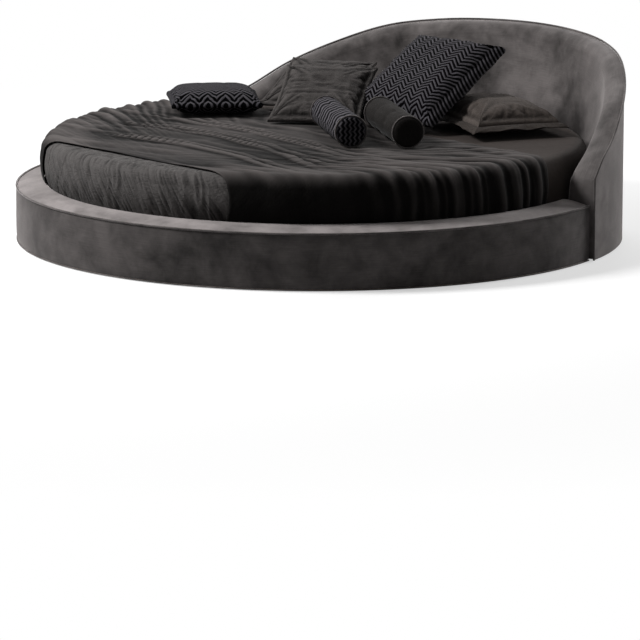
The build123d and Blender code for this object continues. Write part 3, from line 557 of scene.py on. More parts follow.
def bed_throw():
    """Satin throw with its folds and painted light; its rim turns down and under as a narrow hem."""
    points, s, y, half = throw_grid()
    height = throw_folds(s, y, half)
    over = np.abs(s) - half
    side_top, pressed, deepest, thick = 0.42, 0.0010, 0.0024, 0.0022
    on_side = points[..., 2] <= side_top
    mask = np.where(on_side, 1, resting_mask(points[..., 0], points[..., 1]))
    lift = np.maximum(np.where(height > 0, height * mask, height) - pressed * (1 - mask), -deepest)
    normal = normals_of(points)
    points = points + normal * lift[..., None]
    points[..., 2] = np.maximum(points[..., 2], THROW_LOW)
    under = points - normal * thick
    rim, low = (np.concatenate([under[3:4], under[:1], face, under[-1:], under[-4:-3]])
                for face in (points, under))
    grid = np.concatenate([low[:, 3:4], low[:, :1], rim, low[:, -1:], low[:, -4:-3]], axis=1)
    u, v = (np.pad(measure, 2, mode="edge") for measure in (s, y))
    # Painted light: paler on fold crests, painted shade in the valleys, and painted reflection in patches
    painted_gleam = noise(stack((s + 0.7 * y) * 1.7, (y - 0.3 * s) * 4.6, 4.0), 57)
    painted_light = 0.24 + (height - even(height, 60)) / 0.0085 + 0.30 * painted_gleam
    # Painted reflection in a band along the rounded edge, stronger towards the foot
    painted_light = painted_light + (0.42 - 0.15 * y) * smooth_step(-0.34, -0.10, over) * (1 - smooth_step(0.0, 0.10, over))
    # Painted shade down the side, deepest towards the foot
    painted_light = painted_light * (1 - (0.55 - 0.50 * y) * smooth_step(0.02, 0.11, over))
    return store_painted_fold_light(surface("bed_throw_cloth", grid, u, v), np.pad(painted_light, 2, mode="edge"))


def crinkled_quilt():
    """Quilt as a ring of rows from the middle of the top out over the edge and down into the well. The
    distance out is a share of the way to the edge, so that the head edge can be a straight line."""
    radii, heights = quilt_side(0, 0.213, 24)
    fall = over_edge(0, 16, np.append(radii, [QUILT_FOOT] * 3), np.append(heights, [0.248, 0.232, 0.213]))
    start = math.atan2(0.249, 1.19)
    fine_from, fine_to = math.radians(270) - 0.60, math.radians(270) + 0.60
    near = np.linspace(fine_from, fine_to, 420)
    left = np.linspace(math.pi - start, fine_from, 60)[:-1]
    right = np.linspace(fine_to, 2 * math.pi + start, 60)[1:]
    angle = np.concatenate([left, near, right])[None, :]
    share = (1 - np.linspace(1, 0, 110) ** 1.6)[:, None]
    middle_y = 0.10
    top_x = QUILT_FLAT * np.cos(angle) * share
    top_y = middle_y + (QUILT_FLAT * np.sin(angle) - middle_y) * share
    x = np.vstack([top_x, fall[:, :1] * np.cos(angle)])
    y = np.vstack([top_y, fall[:, :1] * np.sin(angle)])
    z = np.vstack([np.full_like(top_x, QUILT_TOP), fall[:, 1:] + 0 * angle])
    points = stack(x, y, z)
    radius = np.hypot(x, y)
    over = np.concatenate([np.zeros(110), measure_along(fall)])[:, None]
    path = np.minimum(radius, QUILT_FLAT) + over
    around = angle * MATTRESS_RADIUS + 0 * path
    bend = 0.07 * noise(stack(around * 4, path * 5, 0), 31)
    lean = around - 0.45 * (path - 1.1) + 0.9 * (path - 1.25) ** 2
    fine = crests(stack((lean + bend) * 84, path * 13 + bend * 20, 0), 32, 0.16)
    wide = crests(stack((lean - bend) * 36, path * 8.0, 3), 33, 0.2)
    shown = smooth_step(-1.035, -1.075, y)
    tucked = smooth_step(0.240, 0.262, z)
    lift = (0.0034 * fine + 0.0040 * wide + 0.0010) * shown * tucked - 0.0010 * (1 - shown)
    points = points + normals_of(points) * lift[..., None]
    # Painted light: paler on the crinkle crests, painted shade between them and low on the side above the well
    painted_light = 0.25 + 0.35 * (1 + fine) + 0.2 * (1 + wide) - 0.55 * smooth_step(0.43, 0.26, z)
    return store_painted_fold_light(surface("quilt_cloth", points, around, path), painted_light)


# Cushions
def cushion_grid(size_x, size_y, over, under, full, draw, count=72):
    """Stuffed cover over a square of u and v from -1 to 1. With t the larger of |u| and |v|, the outline at t
    has its sides at 1 - draw and its corners at t (0.78 + 0.22 t^2.4), each side a parabola between them,
    and the height is (1 - t^3.2)^0.54 of the crown, with (1 - t^6)^0.5 of the fullness on top. The two
    halves meet in the seam at t = 1."""
    line = np.linspace(-1, 1, count + 1)
    line = np.sign(line) * (1 - (1 - np.abs(line)) ** 1.5)
    u, v = np.meshgrid(line, line)
    t = np.maximum(np.abs(u), np.abs(v))
    safe = np.maximum(t, 1e-9)
    side = (1 - draw) * t
    corner = t * (0.78 + 0.22 * t ** 2.4)
    along_x = np.abs(v) >= np.abs(u)
    p, q = u / safe, v / safe
    bow_x = side + (corner - side) * np.clip(q, -1, 1) ** 2
    bow_y = side + (corner - side) * np.clip(p, -1, 1) ** 2
    x = np.where(along_x, corner * p, np.sign(u) * bow_x) * size_x / 2
    y = np.where(along_x, np.sign(v) * bow_y, corner * q) * size_y / 2
    rise = np.clip(1 - t ** 3.2, 0, 1) ** 0.54
    upper = stack(x, y, over * rise + full * np.sqrt(np.clip(1 - t ** 6, 0, 1)))
    lower = stack(x, y, -under * rise)
    return upper, lower, t


def cushion_mesh(name, upper, lower, place, painted_light_marks=None):
    """Two grids that share their rim as one closed mesh, its UV map the cloth's own flat measure, and its
    painted light when given.
    """
    n = upper.shape[0]
    index_up = np.arange(n * n).reshape(n, n)
    index_low = index_up.copy()
    index_low[1:-1, 1:-1] = n * n + np.arange((n - 2) ** 2).reshape(n - 2, n - 2)
    points = np.vstack([upper.reshape(-1, 3), lower[1:-1, 1:-1].reshape(-1, 3)])
    faces = np.vstack([quads(index_up), quads(index_low)[:, ::-1]])
    uv = points[:, :2][faces.ravel()]
    if name.startswith("small"):
        uv = uv[:, ::-1]
    origin, axes = place
    piece = made(name, points @ axes + origin, faces.tolist(), uv)
    if painted_light_marks is not None:
        store_painted_fold_light(piece, np.concatenate([painted_light_marks[0].ravel(), painted_light_marks[1][1:-1, 1:-1].ravel()]))
    return piece


def grid_normals(grid):
    """Unit normals of a grid that has its columns along x and its rows along y."""
    n = np.cross(np.gradient(grid, axis=1), np.gradient(grid, axis=0))
    return n / np.maximum(np.linalg.norm(n, axis=-1, keepdims=True), 1e-12)


def even(values, times):
    """Values of a grid, each replaced by the mean of itself and its four neighbours, many times."""
    for _ in range(times):
        wide = np.pad(values, 1, mode="edge")
        beside = wide[:-2, 1:-1] + wide[2:, 1:-1] + wide[1:-1, :-2] + wide[1:-1, 2:]
        values = (wide[1:-1, 1:-1] * 2 + beside) / 6
    return values


def puckers(upper, t, size, kind, seed):
    """Depth of a cover's creases in metres, 0 at its proud places. Creases spread from the corners, cross the
    seams, and lie over the whole of a linen cover."""
    x, y = upper[..., 0], upper[..., 1]
    depth = np.zeros_like(x)
    corner_reach = 0.17 if kind == "pillow" else 0.10
    for sx in (-1, 1):
        for sy in (-1, 1):
            dx, dy = sx * size[0] / 2 - x, sy * size[1] / 2 - y
            away = np.hypot(dx, dy)
            turn = np.arctan2(dy * sy, dx * sx)
            fan = crests(stack(turn * 5.5, away * 5, seed + sx + 2 * sy), seed, 0.2)
            depth += (1 - fan) * np.exp(-((away - 0.03) / corner_reach) ** 2)
    furrow = lambda a, b, more: 1 - crests(stack(a, b, seed), seed + more, 0.2)
    cross = furrow(y * 24, x * 5, 5) * smooth_step(0.75, 1, np.abs(x) / (size[0] / 2))
    cross += furrow(x * 24, y * 5, 6) * smooth_step(0.75, 1, np.abs(y) / (size[1] / 2))
    depth = 0.0042 * depth + 0.0026 * cross * (t < 1)
    dent = (0.0030 if kind == "woven" else 0.0065) * (1 + layered(stack(x * 6, y * 6, seed), seed + 7, 2)) / 2
    if kind == "linen":
        depth += 0.0030 * furrow(x * 9, y * 34, 8) + 0.0014 * furrow(x * 28, y * 48, 9)
    if kind == "pillow":
        depth += 0.0030 * furrow(x * 9, y * 22, 8)
    return (depth + dent) * smooth_step(0, 0.06, 1 - t)


def vertex_places(mesh):
    """Places of a mesh's points."""
    places = np.zeros(len(mesh.vertices) * 3)
    mesh.vertices.foreach_get("co", places)
    return places.reshape(-1, 3)


def blown(piece, pressure):
    """Cloth simulation: the cover is blown up a little against its own stretch. Gives the new points."""
    cloth = piece.modifiers.new("stuffing", "CLOTH")
    settings = {"quality": 4, "mass": 0.25, "tension_stiffness": 18, "compression_stiffness": 18,
                "shear_stiffness": 6, "bending_stiffness": 0.15, "shrink_min": -0.045, "use_pressure": True,
                "uniform_pressure_force": pressure}
    for key, value in settings.items():
        setattr(cloth.settings, key, value)
    cloth.settings.effector_weights.gravity = 0
    steps = 20
    cloth.point_cache.frame_start = 1
    cloth.point_cache.frame_end = steps
    for frame_number in range(1, steps + 1):
        bpy.context.scene.frame_set(frame_number)
    points = vertex_places(piece.evaluated_get(bpy.context.evaluated_depsgraph_get()).data)
    piece.modifiers.remove(cloth)
    bpy.context.scene.frame_set(1)
    return points


def cushion_place(name, upper, lower, middle, turn, lean):
    """Origin and axes of a cushion: turned about the upright, leant back, its lowest point at its solid's."""
    turn, lean = math.radians(turn), math.radians(lean)
    side = np.array([math.cos(turn), math.sin(turn), 0])
    up = np.array([-side[1] * math.cos(lean), side[0] * math.cos(lean), math.sin(lean)])
    axes = np.stack([side, up, np.cross(side, up)])
    low = min((upper @ axes)[..., 2].min(), (lower @ axes)[..., 2].min())
    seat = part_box(name + "_cover")[0].z
    return np.array([middle[0], middle[1], seat - low]), axes


def cushion(name, seed):
    """One stuffed cushion or pillow: the formed cover, its simulated swelling kept as creases, its puckers,
    and a subdivision. A pillow also has its flat border."""
    size_x, size_y, loft, under_share, full, middle, turn, lean, border, kind = CUSHIONS[name]
    over, under = loft * (1 - under_share), loft * under_share
    size = (size_x - 2 * border, size_y - 2 * border)
    upper, lower, t = cushion_grid(*size, over, under, full, WOVEN_DRAW if kind == "woven" else LINEN_DRAW)
    rim = np.array([(sx * size_x, sy * size_y, 0) for sx in (-1, 1) for sy in (-1, 1)]) / 2
    place = cushion_place(name, np.concatenate([upper.reshape(-1, 3), rim]) if border else upper, lower, middle,
                          turn, lean)
    creases = [np.zeros_like(t), np.zeros_like(t)]
    trial = cushion_mesh(name + "_trial", upper, lower, place)
    moved = blown(trial, 4.0) - vertex_places(trial.data)
    n = upper.shape[0]
    up_part = moved[:n * n].reshape(n, n, 3)
    low_part = np.array(up_part)
    low_part[1:-1, 1:-1] = moved[n * n:].reshape(n - 2, n - 2, 3)
    creases = []
    for part, grid, sign in ((up_part, upper, 1), (low_part, lower, -1)):
        swell = (part * (grid_normals(grid) @ place[1])).sum(-1) * sign
        creases.append(np.clip(swell - even(swell, 60), -0.006, 0.006))
    bpy.data.objects.remove(trial)
    fade = smooth_step(0, 0.05, 1 - t)
    shaped, painted_light_marks = [], []
    for k, grid in enumerate((upper, lower)):
        n = grid_normals(grid) * (1 if k == 0 else -1)
        depth = puckers(grid, t, size, kind, seed + 20 * k) + (0.002 - creases[k]) * fade
        shaped.append(grid - n * np.maximum(depth, 0)[..., None])
        # Painted shade in creases and puckers, paler where the cover stands proud
        painted_light_marks.append(0.5 - (depth - even(depth, 16)) / 0.0045)
    piece = cushion_mesh(name + "_stuffed", shaped[0], shaped[1], place, painted_light_marks)
    smooth = piece.modifiers.new("smooth", "SUBSURF")
    smooth.levels = smooth.render_levels = 1
    return piece, place


def pillow_border(name, place, seed):
    """Border of a pillowcase, 3 mm thick, waved up and down towards its free edge."""
    (size_x, size_y), border = CUSHIONS[name][:2], CUSHIONS[name][-2]
    inner = perimeter(size_x / 2 - border, size_y / 2 - border, LINEN_DRAW)
    outer = perimeter(size_x / 2, size_y / 2, border / 4 / size_x * 2)
    share = np.linspace(0, 1, 9)[:, None, None]
    flat = inner * (1 - share) + outer * share
    flat[0] -= 0.10 * (flat[1] - flat[0])
    run = measure_along(outer)[None, :]
    share = share[..., 0]
    wave = -0.016 * share ** 1.6 + share ** 1.5 * (0.008 * noise(stack(run * 13, share * 1.2, seed), seed)
                                                 + 0.004 * noise(stack(run * 31, share * 2, seed), seed + 1))
    top, low = (stack(flat[..., 0], flat[..., 1], wave + side) for side in (0.0014, -0.0014))
    ring = np.concatenate([top, low[::-1]])
    origin, axes = place
    v = np.concatenate([share, 1 + share, [[2.0]]])[:, :1] * border
    u = np.append(run[0], run[0, -1] + 0.01)[None, :]
    return surface(name + "_border", ring @ axes + origin, u, v, loop_rows=True, loop_columns=True, sharp=50)


def perimeter(half_x, half_y, draw):
    """Closed line round a cover: four sides, each a parabola drawn in at its middle by a share."""
    t = np.linspace(-1, 1, 90, endpoint=False)
    bow = 1 - draw * (1 - t * t)
    right, top = stack(half_x * bow, half_y * t), stack(-half_x * t, half_y * bow)
    return np.vstack([right, top, -right, -top])


def bolster(name, seed):
    """Bolster: three bays between its seams, each a shallow arc, and flat piped ends. Creases gather at the
    seams and along the bays."""
    middle, turn, _ = BOLSTERS[name]
    ends, radius, end_radius = 0.296, 0.073, 0.0675
    x = np.linspace(-ends, ends, 130)
    knots = np.linspace(-ends, ends, 4)
    seam = np.array([end_radius, radius - 0.003, radius - 0.003, end_radius])
    k = np.clip(np.searchsorted(knots, x) - 1, 0, 2)
    t = (x - knots[k]) / (knots[k + 1] - knots[k])
    bulge = radius - (seam[k] + seam[k + 1]) / 2
    r = seam[k] + (seam[k + 1] - seam[k]) * t + bulge * 4 * t * (1 - t)
    a = round_turn(8)
    flat = end_radius * 0.6
    cap_x = ends + 0.014 * np.sin(a) * 0.97
    cap_r = flat + (r[-1] - flat) * np.cos(a)
    disc_r = np.linspace(flat, 0.004, 8)[1:]
    disc_x = np.full(7, 0.3096)
    xs = np.concatenate([-disc_x, -cap_x[::-1], x, cap_x, disc_x])
    rs = np.concatenate([disc_r[::-1], cap_r[::-1], r, cap_r, disc_r])
    angle = np.linspace(0, 2 * np.pi, 110, endpoint=False)
    run = xs[:, None]
    across, upright = np.cos(angle) + 0 * run, np.sin(angle) + 0 * run
    near = np.exp(-(np.abs(xs[:, None, None] - knots).min(-1) / 0.035) ** 2) * (np.abs(run) < ends)
    crease = 1 - crests(stack(across * 3.2, upright * 3.2, run * 9), seed, 0.2)
    slack = 1 + layered(stack(across, upright, run * 8), seed + 3, 3)
    depth = (0.0014 * crease * near + 0.0012 * crease + 0.0010 * slack) * (np.abs(run) < ends - 0.002)
    r_grid = rs[:, None] - depth
    local = stack(run + 0 * angle, r_grid * across, r_grid * upright)
    turn = math.radians(turn)
    axes = np.array([[math.cos(turn), math.sin(turn), 0], [-math.sin(turn), math.cos(turn), 0], [0, 0, 1]])
    origin = np.array([middle[0], middle[1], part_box(name + "_cover")[0].z + radius])
    points = local @ axes + origin
    whole = np.append(angle, 2 * np.pi)[None, :]
    flat = np.abs(run) > ends + 0.006
    end_share = 2.2 * rs[:, None]
    along = np.where(flat, end_share * np.cos(whole), measure_along(pairs(xs, rs))[:, None])
    around = np.where(flat, end_share * np.sin(whole), whole * radius)
    piece = surface(name + "_stuffed", points, around, along, loop_columns=True, poles=2, sharp=55)
    path_turn = np.linspace(0, 2 * np.pi, 120, endpoint=False)
    beside = 0.0033 * LOW_CORNER
    pipings = []
    for sign in (-1, 1):
        circle = stack(sign * (ends + beside), (end_radius + beside) * np.cos(path_turn),
                       (end_radius + beside) * np.sin(path_turn))
        out = stack(sign, 0 * path_turn, 0)
        pipings.append(tube(f"{name}_end_{sign}", circle @ axes + origin, out @ axes, 0.003, 10, True))
    return piece, joined(name + "_end_piping", pipings)


# Materials
def add(tree, kind, values=None, **settings):
    """Node with its settings; values go to input sockets by name or number, and a socket given is linked."""
    node = tree.nodes.new(kind)
    for key, value in settings.items():
        setattr(node, key, value)
    for key, value in (values or {}).items():
        if isinstance(value, bpy.types.NodeSocket):
            tree.links.new(value, node.inputs[key])
        else:
            node.inputs[key].default_value = value
    return node


def calc(operation, a, b=0.0, clamp=False):
    """Result of a two-value sum, in the node tree of the socket among the two."""
    socket = a if isinstance(a, bpy.types.NodeSocket) else b
    return add(socket.id_data, "ShaderNodeMath", {0: a, 1: b}, operation=operation, use_clamp=clamp).outputs[0]


def times(a, b):
    """Product."""
    return calc("MULTIPLY", a, b)


def plus(a, b, clamp=False):
    """Sum."""
    return calc("ADD", a, b, clamp)


def scaled(vector, scale):
    """Coordinates times a scale."""
    return add(vector.id_data, "ShaderNodeMapping", {"Vector": vector, "Scale": scale}).outputs[0]


def spread_of(value, low, high, to_low=0.0, to_high=1.0):
    """Value mapped from one range to another, kept inside it."""
    values = {0: value, 1: low, 2: high, 3: to_low, 4: to_high}
    return add(value.id_data, "ShaderNodeMapRange", values).outputs[0]


def noise_of(vector, scale, detail=4.0, roughness=0.55, distortion=0.0):
    """Blender's own noise."""
    values = {"Vector": vector, "Scale": scale, "Detail": detail, "Roughness": roughness,
              "Distortion": distortion}
    return add(vector.id_data, "ShaderNodeTexNoise", values).outputs[0]


def blended(tree, share, first, second, kind="MIX"):
    """Colour between two."""
    node = add(tree, "ShaderNodeMix", {0: share, 6: first, 7: second}, data_type="RGBA", blend_type=kind)
    return node.outputs[2]


def group(name, inputs, outputs, build):
    """Node group with named inputs and outputs; build(tree, in sockets) gives the out sockets in order."""
    tree = bpy.data.node_groups.new(name, "ShaderNodeTree")
    for label, kind, value in inputs:
        socket = tree.interface.new_socket(name=label, in_out="INPUT", socket_type=kind)
        if value is not None:
            socket.default_value = value
    for label, kind in outputs:
        tree.interface.new_socket(name=label, in_out="OUTPUT", socket_type=kind)
    start, end = tree.nodes.new("NodeGroupInput"), tree.nodes.new("NodeGroupOutput")
    for k, socket in enumerate(build(tree, start.outputs)):
        tree.links.new(socket, end.inputs[k])
    return tree


FLOAT, VECTOR = "NodeSocketFloat", "NodeSocketVector"


def nap_group():
    """Brushed nap: slow clouds, smaller blots and fine streaks along the cloth."""
    def build(tree, ins):
        slow = noise_of(ins["Place"], ins["Cloud size"], 3.0, 0.6, 0.6)
        blots = noise_of(ins["Place"], times(ins["Cloud size"], 4.2), 6.0, 0.65, 0.3)
        cloud = spread_of(plus(times(slow, 0.62), times(blots, 0.38)), 0.38, 0.64)
        streak = noise_of(scaled(ins["Cloth"], (9, 420, 1)), 1.0, 2.0, 0.6)
        pile = noise_of(ins["Place"], 900.0, 2.0, 0.5)
        height = plus(times(streak, 0.5), times(pile, 0.5))
        return cloud, spread_of(streak, 0.3, 0.7), height
    return group("brushed_nap", [("Place", VECTOR, None), ("Cloth", VECTOR, None), ("Cloud size", FLOAT, 2.2)],
                 [("Cloud", FLOAT), ("Streak", FLOAT), ("Height", FLOAT)], build)


def weave_group():
    """Plain weave: two sets of rounded threads that pass over each other, with uneven thickness."""
    def build(tree, ins):
        uneven = noise_of(scaled(ins["Cloth"], (30, 30, 30)), 1.0, 3.0, 0.6)
        parts = add(tree, "ShaderNodeSeparateXYZ", {0: ins["Cloth"]})
        waves = []
        for k in (0, 1):
            phase = times(parts.outputs[k], ins["Threads per metre"])
            phase = plus(phase, times(uneven, 1.5))
            waves.append(calc("SINE", times(phase, 6.2832)))
        height = spread_of(times(*waves), -1.0, 1.0)
        slub = noise_of(scaled(ins["Cloth"], (26, 700, 1)), 1.0, 2.0, 0.6)
        slub2 = noise_of(scaled(ins["Cloth"], (700, 26, 1)), 1.0, 2.0, 0.6)
        threads = spread_of(plus(slub, slub2), 0.75, 1.25)
        return height, threads
    return group("plain_weave", [("Cloth", VECTOR, None), ("Threads per metre", FLOAT, 900.0)],
                 [("Height", FLOAT), ("Slub", FLOAT)], build)


def crinkle_group():
    """Small creases of soft cloth: narrow crests where stretched noises pass their middle."""
    def build(tree, ins):
        total = None
        for scale, share in (((16, 42, 16), 0.5), ((60, 34, 60), 0.3), ((120, 150, 120), 0.2)):
            place = scaled(ins["Cloth"], scale)
            n = noise_of(place, ins["Size"], 3.0, 0.55, 0.7)
            crest = calc("ABSOLUTE", calc("SUBTRACT", n, 0.5))
            crest = spread_of(crest, 0.0, 0.16, 1.0, 0.0)
            part = times(crest, share)
            total = part if total is None else plus(total, part)
        return (total,)
    return group("cloth_creases", [("Cloth", VECTOR, None), ("Size", FLOAT, 1.0)], [("Height", FLOAT)], build)


def zigzag_group():
    """Zigzag weave: rows that step up and down with a triangle wave across the cloth, with a ribbed yarn."""
    def build(tree, ins):
        parts = add(tree, "ShaderNodeSeparateXYZ", {0: ins["Cloth"]})
        column = calc("DIVIDE", parts.outputs[0], ins["Column"])
        tri = calc("PINGPONG", column, 0.5)
        wobble = times(noise_of(scaled(ins["Cloth"], (60, 60, 60)), 1.0, 2.0), 0.12)
        row = calc("DIVIDE", parts.outputs[1], ins["Row"])
        row = plus(plus(row, wobble), times(tri, ins["Rise"]))
        saw = calc("PINGPONG", row, 0.5)
        mask = spread_of(saw, 0.23, 0.33)
        yarn = calc("PINGPONG", times(row, 3.0), 0.5)
        edge = calc("PINGPONG", column, 0.25)
        lift = plus(times(mask, 0.6), times(yarn, 0.5))
        lift = plus(lift, spread_of(edge, 0.0, 0.05, -0.25, 0.0))
        return mask, lift
    return group("zigzag_weave", [("Cloth", VECTOR, None), ("Column", FLOAT, 0.05), ("Row", FLOAT, 0.02),
                                  ("Rise", FLOAT, 2.0)], [("Mask", FLOAT), ("Height", FLOAT)], build)


def grain_group():
    """Wood grain: stretched rings and fibres along one direction."""
    def build(tree, ins):
        place = scaled(ins["Place"], (2.2, 26, 26))
        rings = noise_of(place, 1.0, 4.0, 0.6, 1.4)
        fibre = noise_of(scaled(ins["Place"], (14, 420, 420)), 1.0, 2.0, 0.6)
        mask = plus(times(rings, 0.7), times(fibre, 0.3))
        return spread_of(mask, 0.35, 0.65), fibre
    return group("wood_grain", [("Place", VECTOR, None)], [("Grain", FLOAT), ("Fibre", FLOAT)], build)


GROUPS = {}


def start(name):
    """Material with its Principled shader and its two coordinates, the object's and the cloth's own."""
    material = bpy.data.materials.new(name)
    material.use_nodes = True
    tree = material.node_tree
    shader = tree.nodes["Principled BSDF"]
    coords = tree.nodes.new("ShaderNodeTexCoord")
    return material, tree, shader, coords.outputs["Object"], coords.outputs["UV"]


def use(tree, name, values):
    """Place a shared group in a material."""
    return add(tree, "ShaderNodeGroup", values, node_tree=GROUPS[name])


def constants(shader, **values):
    """Constants on the shader's own sockets, named with underscores for spaces."""
    for key, value in values.items():
        shader.inputs[key.replace("_", " ")].default_value = value


def painted(shader, share, dark, light):
    """Base colour between two."""
    tree = shader.id_data
    tree.links.new(blended(tree, share, colour(*dark), colour(*light)), shader.inputs["Base Color"])


def roughened(shader, value, at_low, at_high, low=0.0, high=1.0):
    """Roughness that follows a value."""
    shader.id_data.links.new(spread_of(value, low, high, at_low, at_high), shader.inputs["Roughness"])


def relief(shader, *layers):
    """Chain of bumps into the shader's normal: height, strength and distance each."""
    tree = shader.id_data
    last = None
    for height, strength, distance in layers:
        values = {"Height": height, "Strength": strength, "Distance": distance}
        if last is not None:
            values["Normal"] = last
        last = add(tree, "ShaderNodeBump", values).outputs[0]
    tree.links.new(last, shader.inputs["Normal"])


def colour(r, g, b):
    """Colour with full alpha."""
    return (r, g, b, 1.0)


def velvet(name, dark, light, cloud, sheen):
    """Brushed velvet: dark and light clouds of nap with fine streaks, and a soft sheen."""
    material, tree, shader, place, cloth = start(name)
    nap = use(tree, "nap", {"Place": place, "Cloth": cloth, "Cloud size": cloud})
    base = blended(tree, nap.outputs["Cloud"], colour(*dark), colour(*light))
    tint = spread_of(nap.outputs["Streak"], 0.0, 1.0, 0.82, 1.12)
    shade = add(tree, "ShaderNodeCombineColor", {0: tint, 1: tint, 2: tint}).outputs[0]
    base = blended(tree, 1.0, base, shade, "MULTIPLY")
    tree.links.new(base, shader.inputs["Base Color"])
    roughened(shader, nap.outputs["Cloud"], 0.92, 0.72)
    constants(shader, Specular_IOR_Level=0.15, Sheen_Weight=sheen, Sheen_Roughness=0.35,
              Sheen_Tint=colour(0.75, 0.70, 0.69))
    relief(shader, (nap.outputs["Height"], 0.25, 0.0008))
    return material


def painted_fold_light_node(tree):
    """The cloth's painted light: painted highlight on its crests and painted shade in its valleys."""
    return add(tree, "ShaderNodeAttribute", attribute_name="fold").outputs["Fac"]


def fine_cloth(name, dark, light, roughness, weight, creases, threads, sheen, painted_light_share=0.0):
    """Woven cloth with slubs, thread relief and small creases, with painted highlight on crests, by a share on
    folds.
    """
    material, tree, shader, _, cloth = start(name)
    weave = use(tree, "weave", {"Cloth": cloth, "Threads per metre": threads})
    folds = use(tree, "creases", {"Cloth": cloth, "Size": 1.0})
    # Painted highlight along the small crease crests
    share = plus(times(weave.outputs["Slub"], 0.65),
                 times(folds.outputs[0], 0.35), True)
    if painted_light_share:
        share = plus(times(share, 1 - painted_light_share),
                     times(painted_fold_light_node(tree), painted_light_share), True)
    painted(shader, share, dark, light)
    roughened(shader, weave.outputs["Slub"], roughness + 0.06, roughness - 0.04)
    constants(shader, Specular_IOR_Level=0.02, Sheen_Weight=sheen, Sheen_Roughness=0.4)
    relief(shader, (folds.outputs[0], creases, 0.004), (weave.outputs["Height"], weight, 0.0004))
    return material


def satin(name, dark, light, roughness, creases, gloss, painted_light_share=0.0):
    """Satin: smooth glossy cloth with soft creases and a faint thread direction, with painted fold light by a
    share.
    """
    material, tree, shader, _, cloth = start(name)
    folds = use(tree, "creases", {"Cloth": cloth, "Size": 0.5})
    thread = noise_of(scaled(cloth, (40, 1600, 1)), 1.0, 2.0, 0.5)
    share = thread
    if painted_light_share:
        share = plus(times(thread, 1 - painted_light_share),
                     times(painted_fold_light_node(tree), painted_light_share), True)
    painted(shader, share, dark, light)
    roughened(shader, folds.outputs[0], roughness + 0.05, roughness - 0.03)
    constants(shader, Specular_IOR_Level=gloss, Sheen_Weight=0.04)
    relief(shader, (folds.outputs[0], creases, 0.006), (thread, 0.04, 0.0004))
    return material


def zigzag(name, dark, light, column, row, rise):
    """Thick zigzag weave in two greys."""
    material, tree, shader, _, cloth = start(name)
    rows = use(tree, "zigzag", {"Cloth": cloth, "Column": column, "Row": row, "Rise": rise})
    weave = use(tree, "weave", {"Cloth": cloth, "Threads per metre": 700.0})
    share = times(rows.outputs["Mask"], spread_of(weave.outputs["Slub"], 0, 1, 0.75, 1.0))
    painted(shader, share, dark, light)
    roughened(shader, rows.outputs["Mask"], 0.97, 0.88)
    constants(shader, Specular_IOR_Level=0.02, Sheen_Weight=0.02)
    relief(shader, (rows.outputs["Height"], 0.8, 0.0040), (weave.outputs["Height"], 0.3, 0.0006))
    return material


def wood(name, dark, light, axis=(0, 0, 0)):
    """Wood with its grain along a turned direction."""
    material, tree, shader, place, _ = start(name)
    turned = add(tree, "ShaderNodeMapping", {"Vector": place, "Rotation": axis}).outputs[0]
    grain = use(tree, "grain", {"Place": turned})
    painted(shader, grain.outputs["Grain"], dark, light)
    roughened(shader, grain.outputs["Fibre"], 0.72, 0.57)
    relief(shader, (grain.outputs["Fibre"], 0.25, 0.0005))
    return material


def rigid(name, base, roughness, metallic, speckle=0.12):
    """Plastic or metal with a fine uneven surface."""
    material, _, shader, place, _ = start(name)
    uneven = noise_of(place, 160.0, 4.0, 0.6)
    low, high = ([min(1.0, c * (1 + change)) for c in base] for change in (-speckle, speckle))
    painted(shader, uneven, low, high)
    roughened(shader, uneven, roughness - 0.05, roughness + 0.08, 0.3, 0.7)
    constants(shader, Metallic=metallic)
    relief(shader, (uneven, 0.1, 0.0004))
    return material


def ticking(name):
    """Knitted ticking, quilted in diamonds."""
    material, tree, shader, place, cloth = start(name)
    parts = add(tree, "ShaderNodeSeparateXYZ", {0: place})
    ways = []
    for sign in ("ADD", "SUBTRACT"):
        run = calc(sign, parts.outputs[0], parts.outputs[1])
        ways.append(calc("PINGPONG", times(run, 6.5), 0.5))
    puff = calc("MINIMUM", *ways)
    puff = spread_of(puff, 0.0, 0.22)
    weave = use(tree, "weave", {"Cloth": cloth, "Threads per metre": 500.0})
    painted(shader, puff, (0.60, 0.59, 0.56), (0.78, 0.77, 0.74))
    roughened(shader, puff, 0.85, 0.75)
    relief(shader, (puff, 0.6, 0.006), (weave.outputs["Height"], 0.3, 0.0005))
    return material


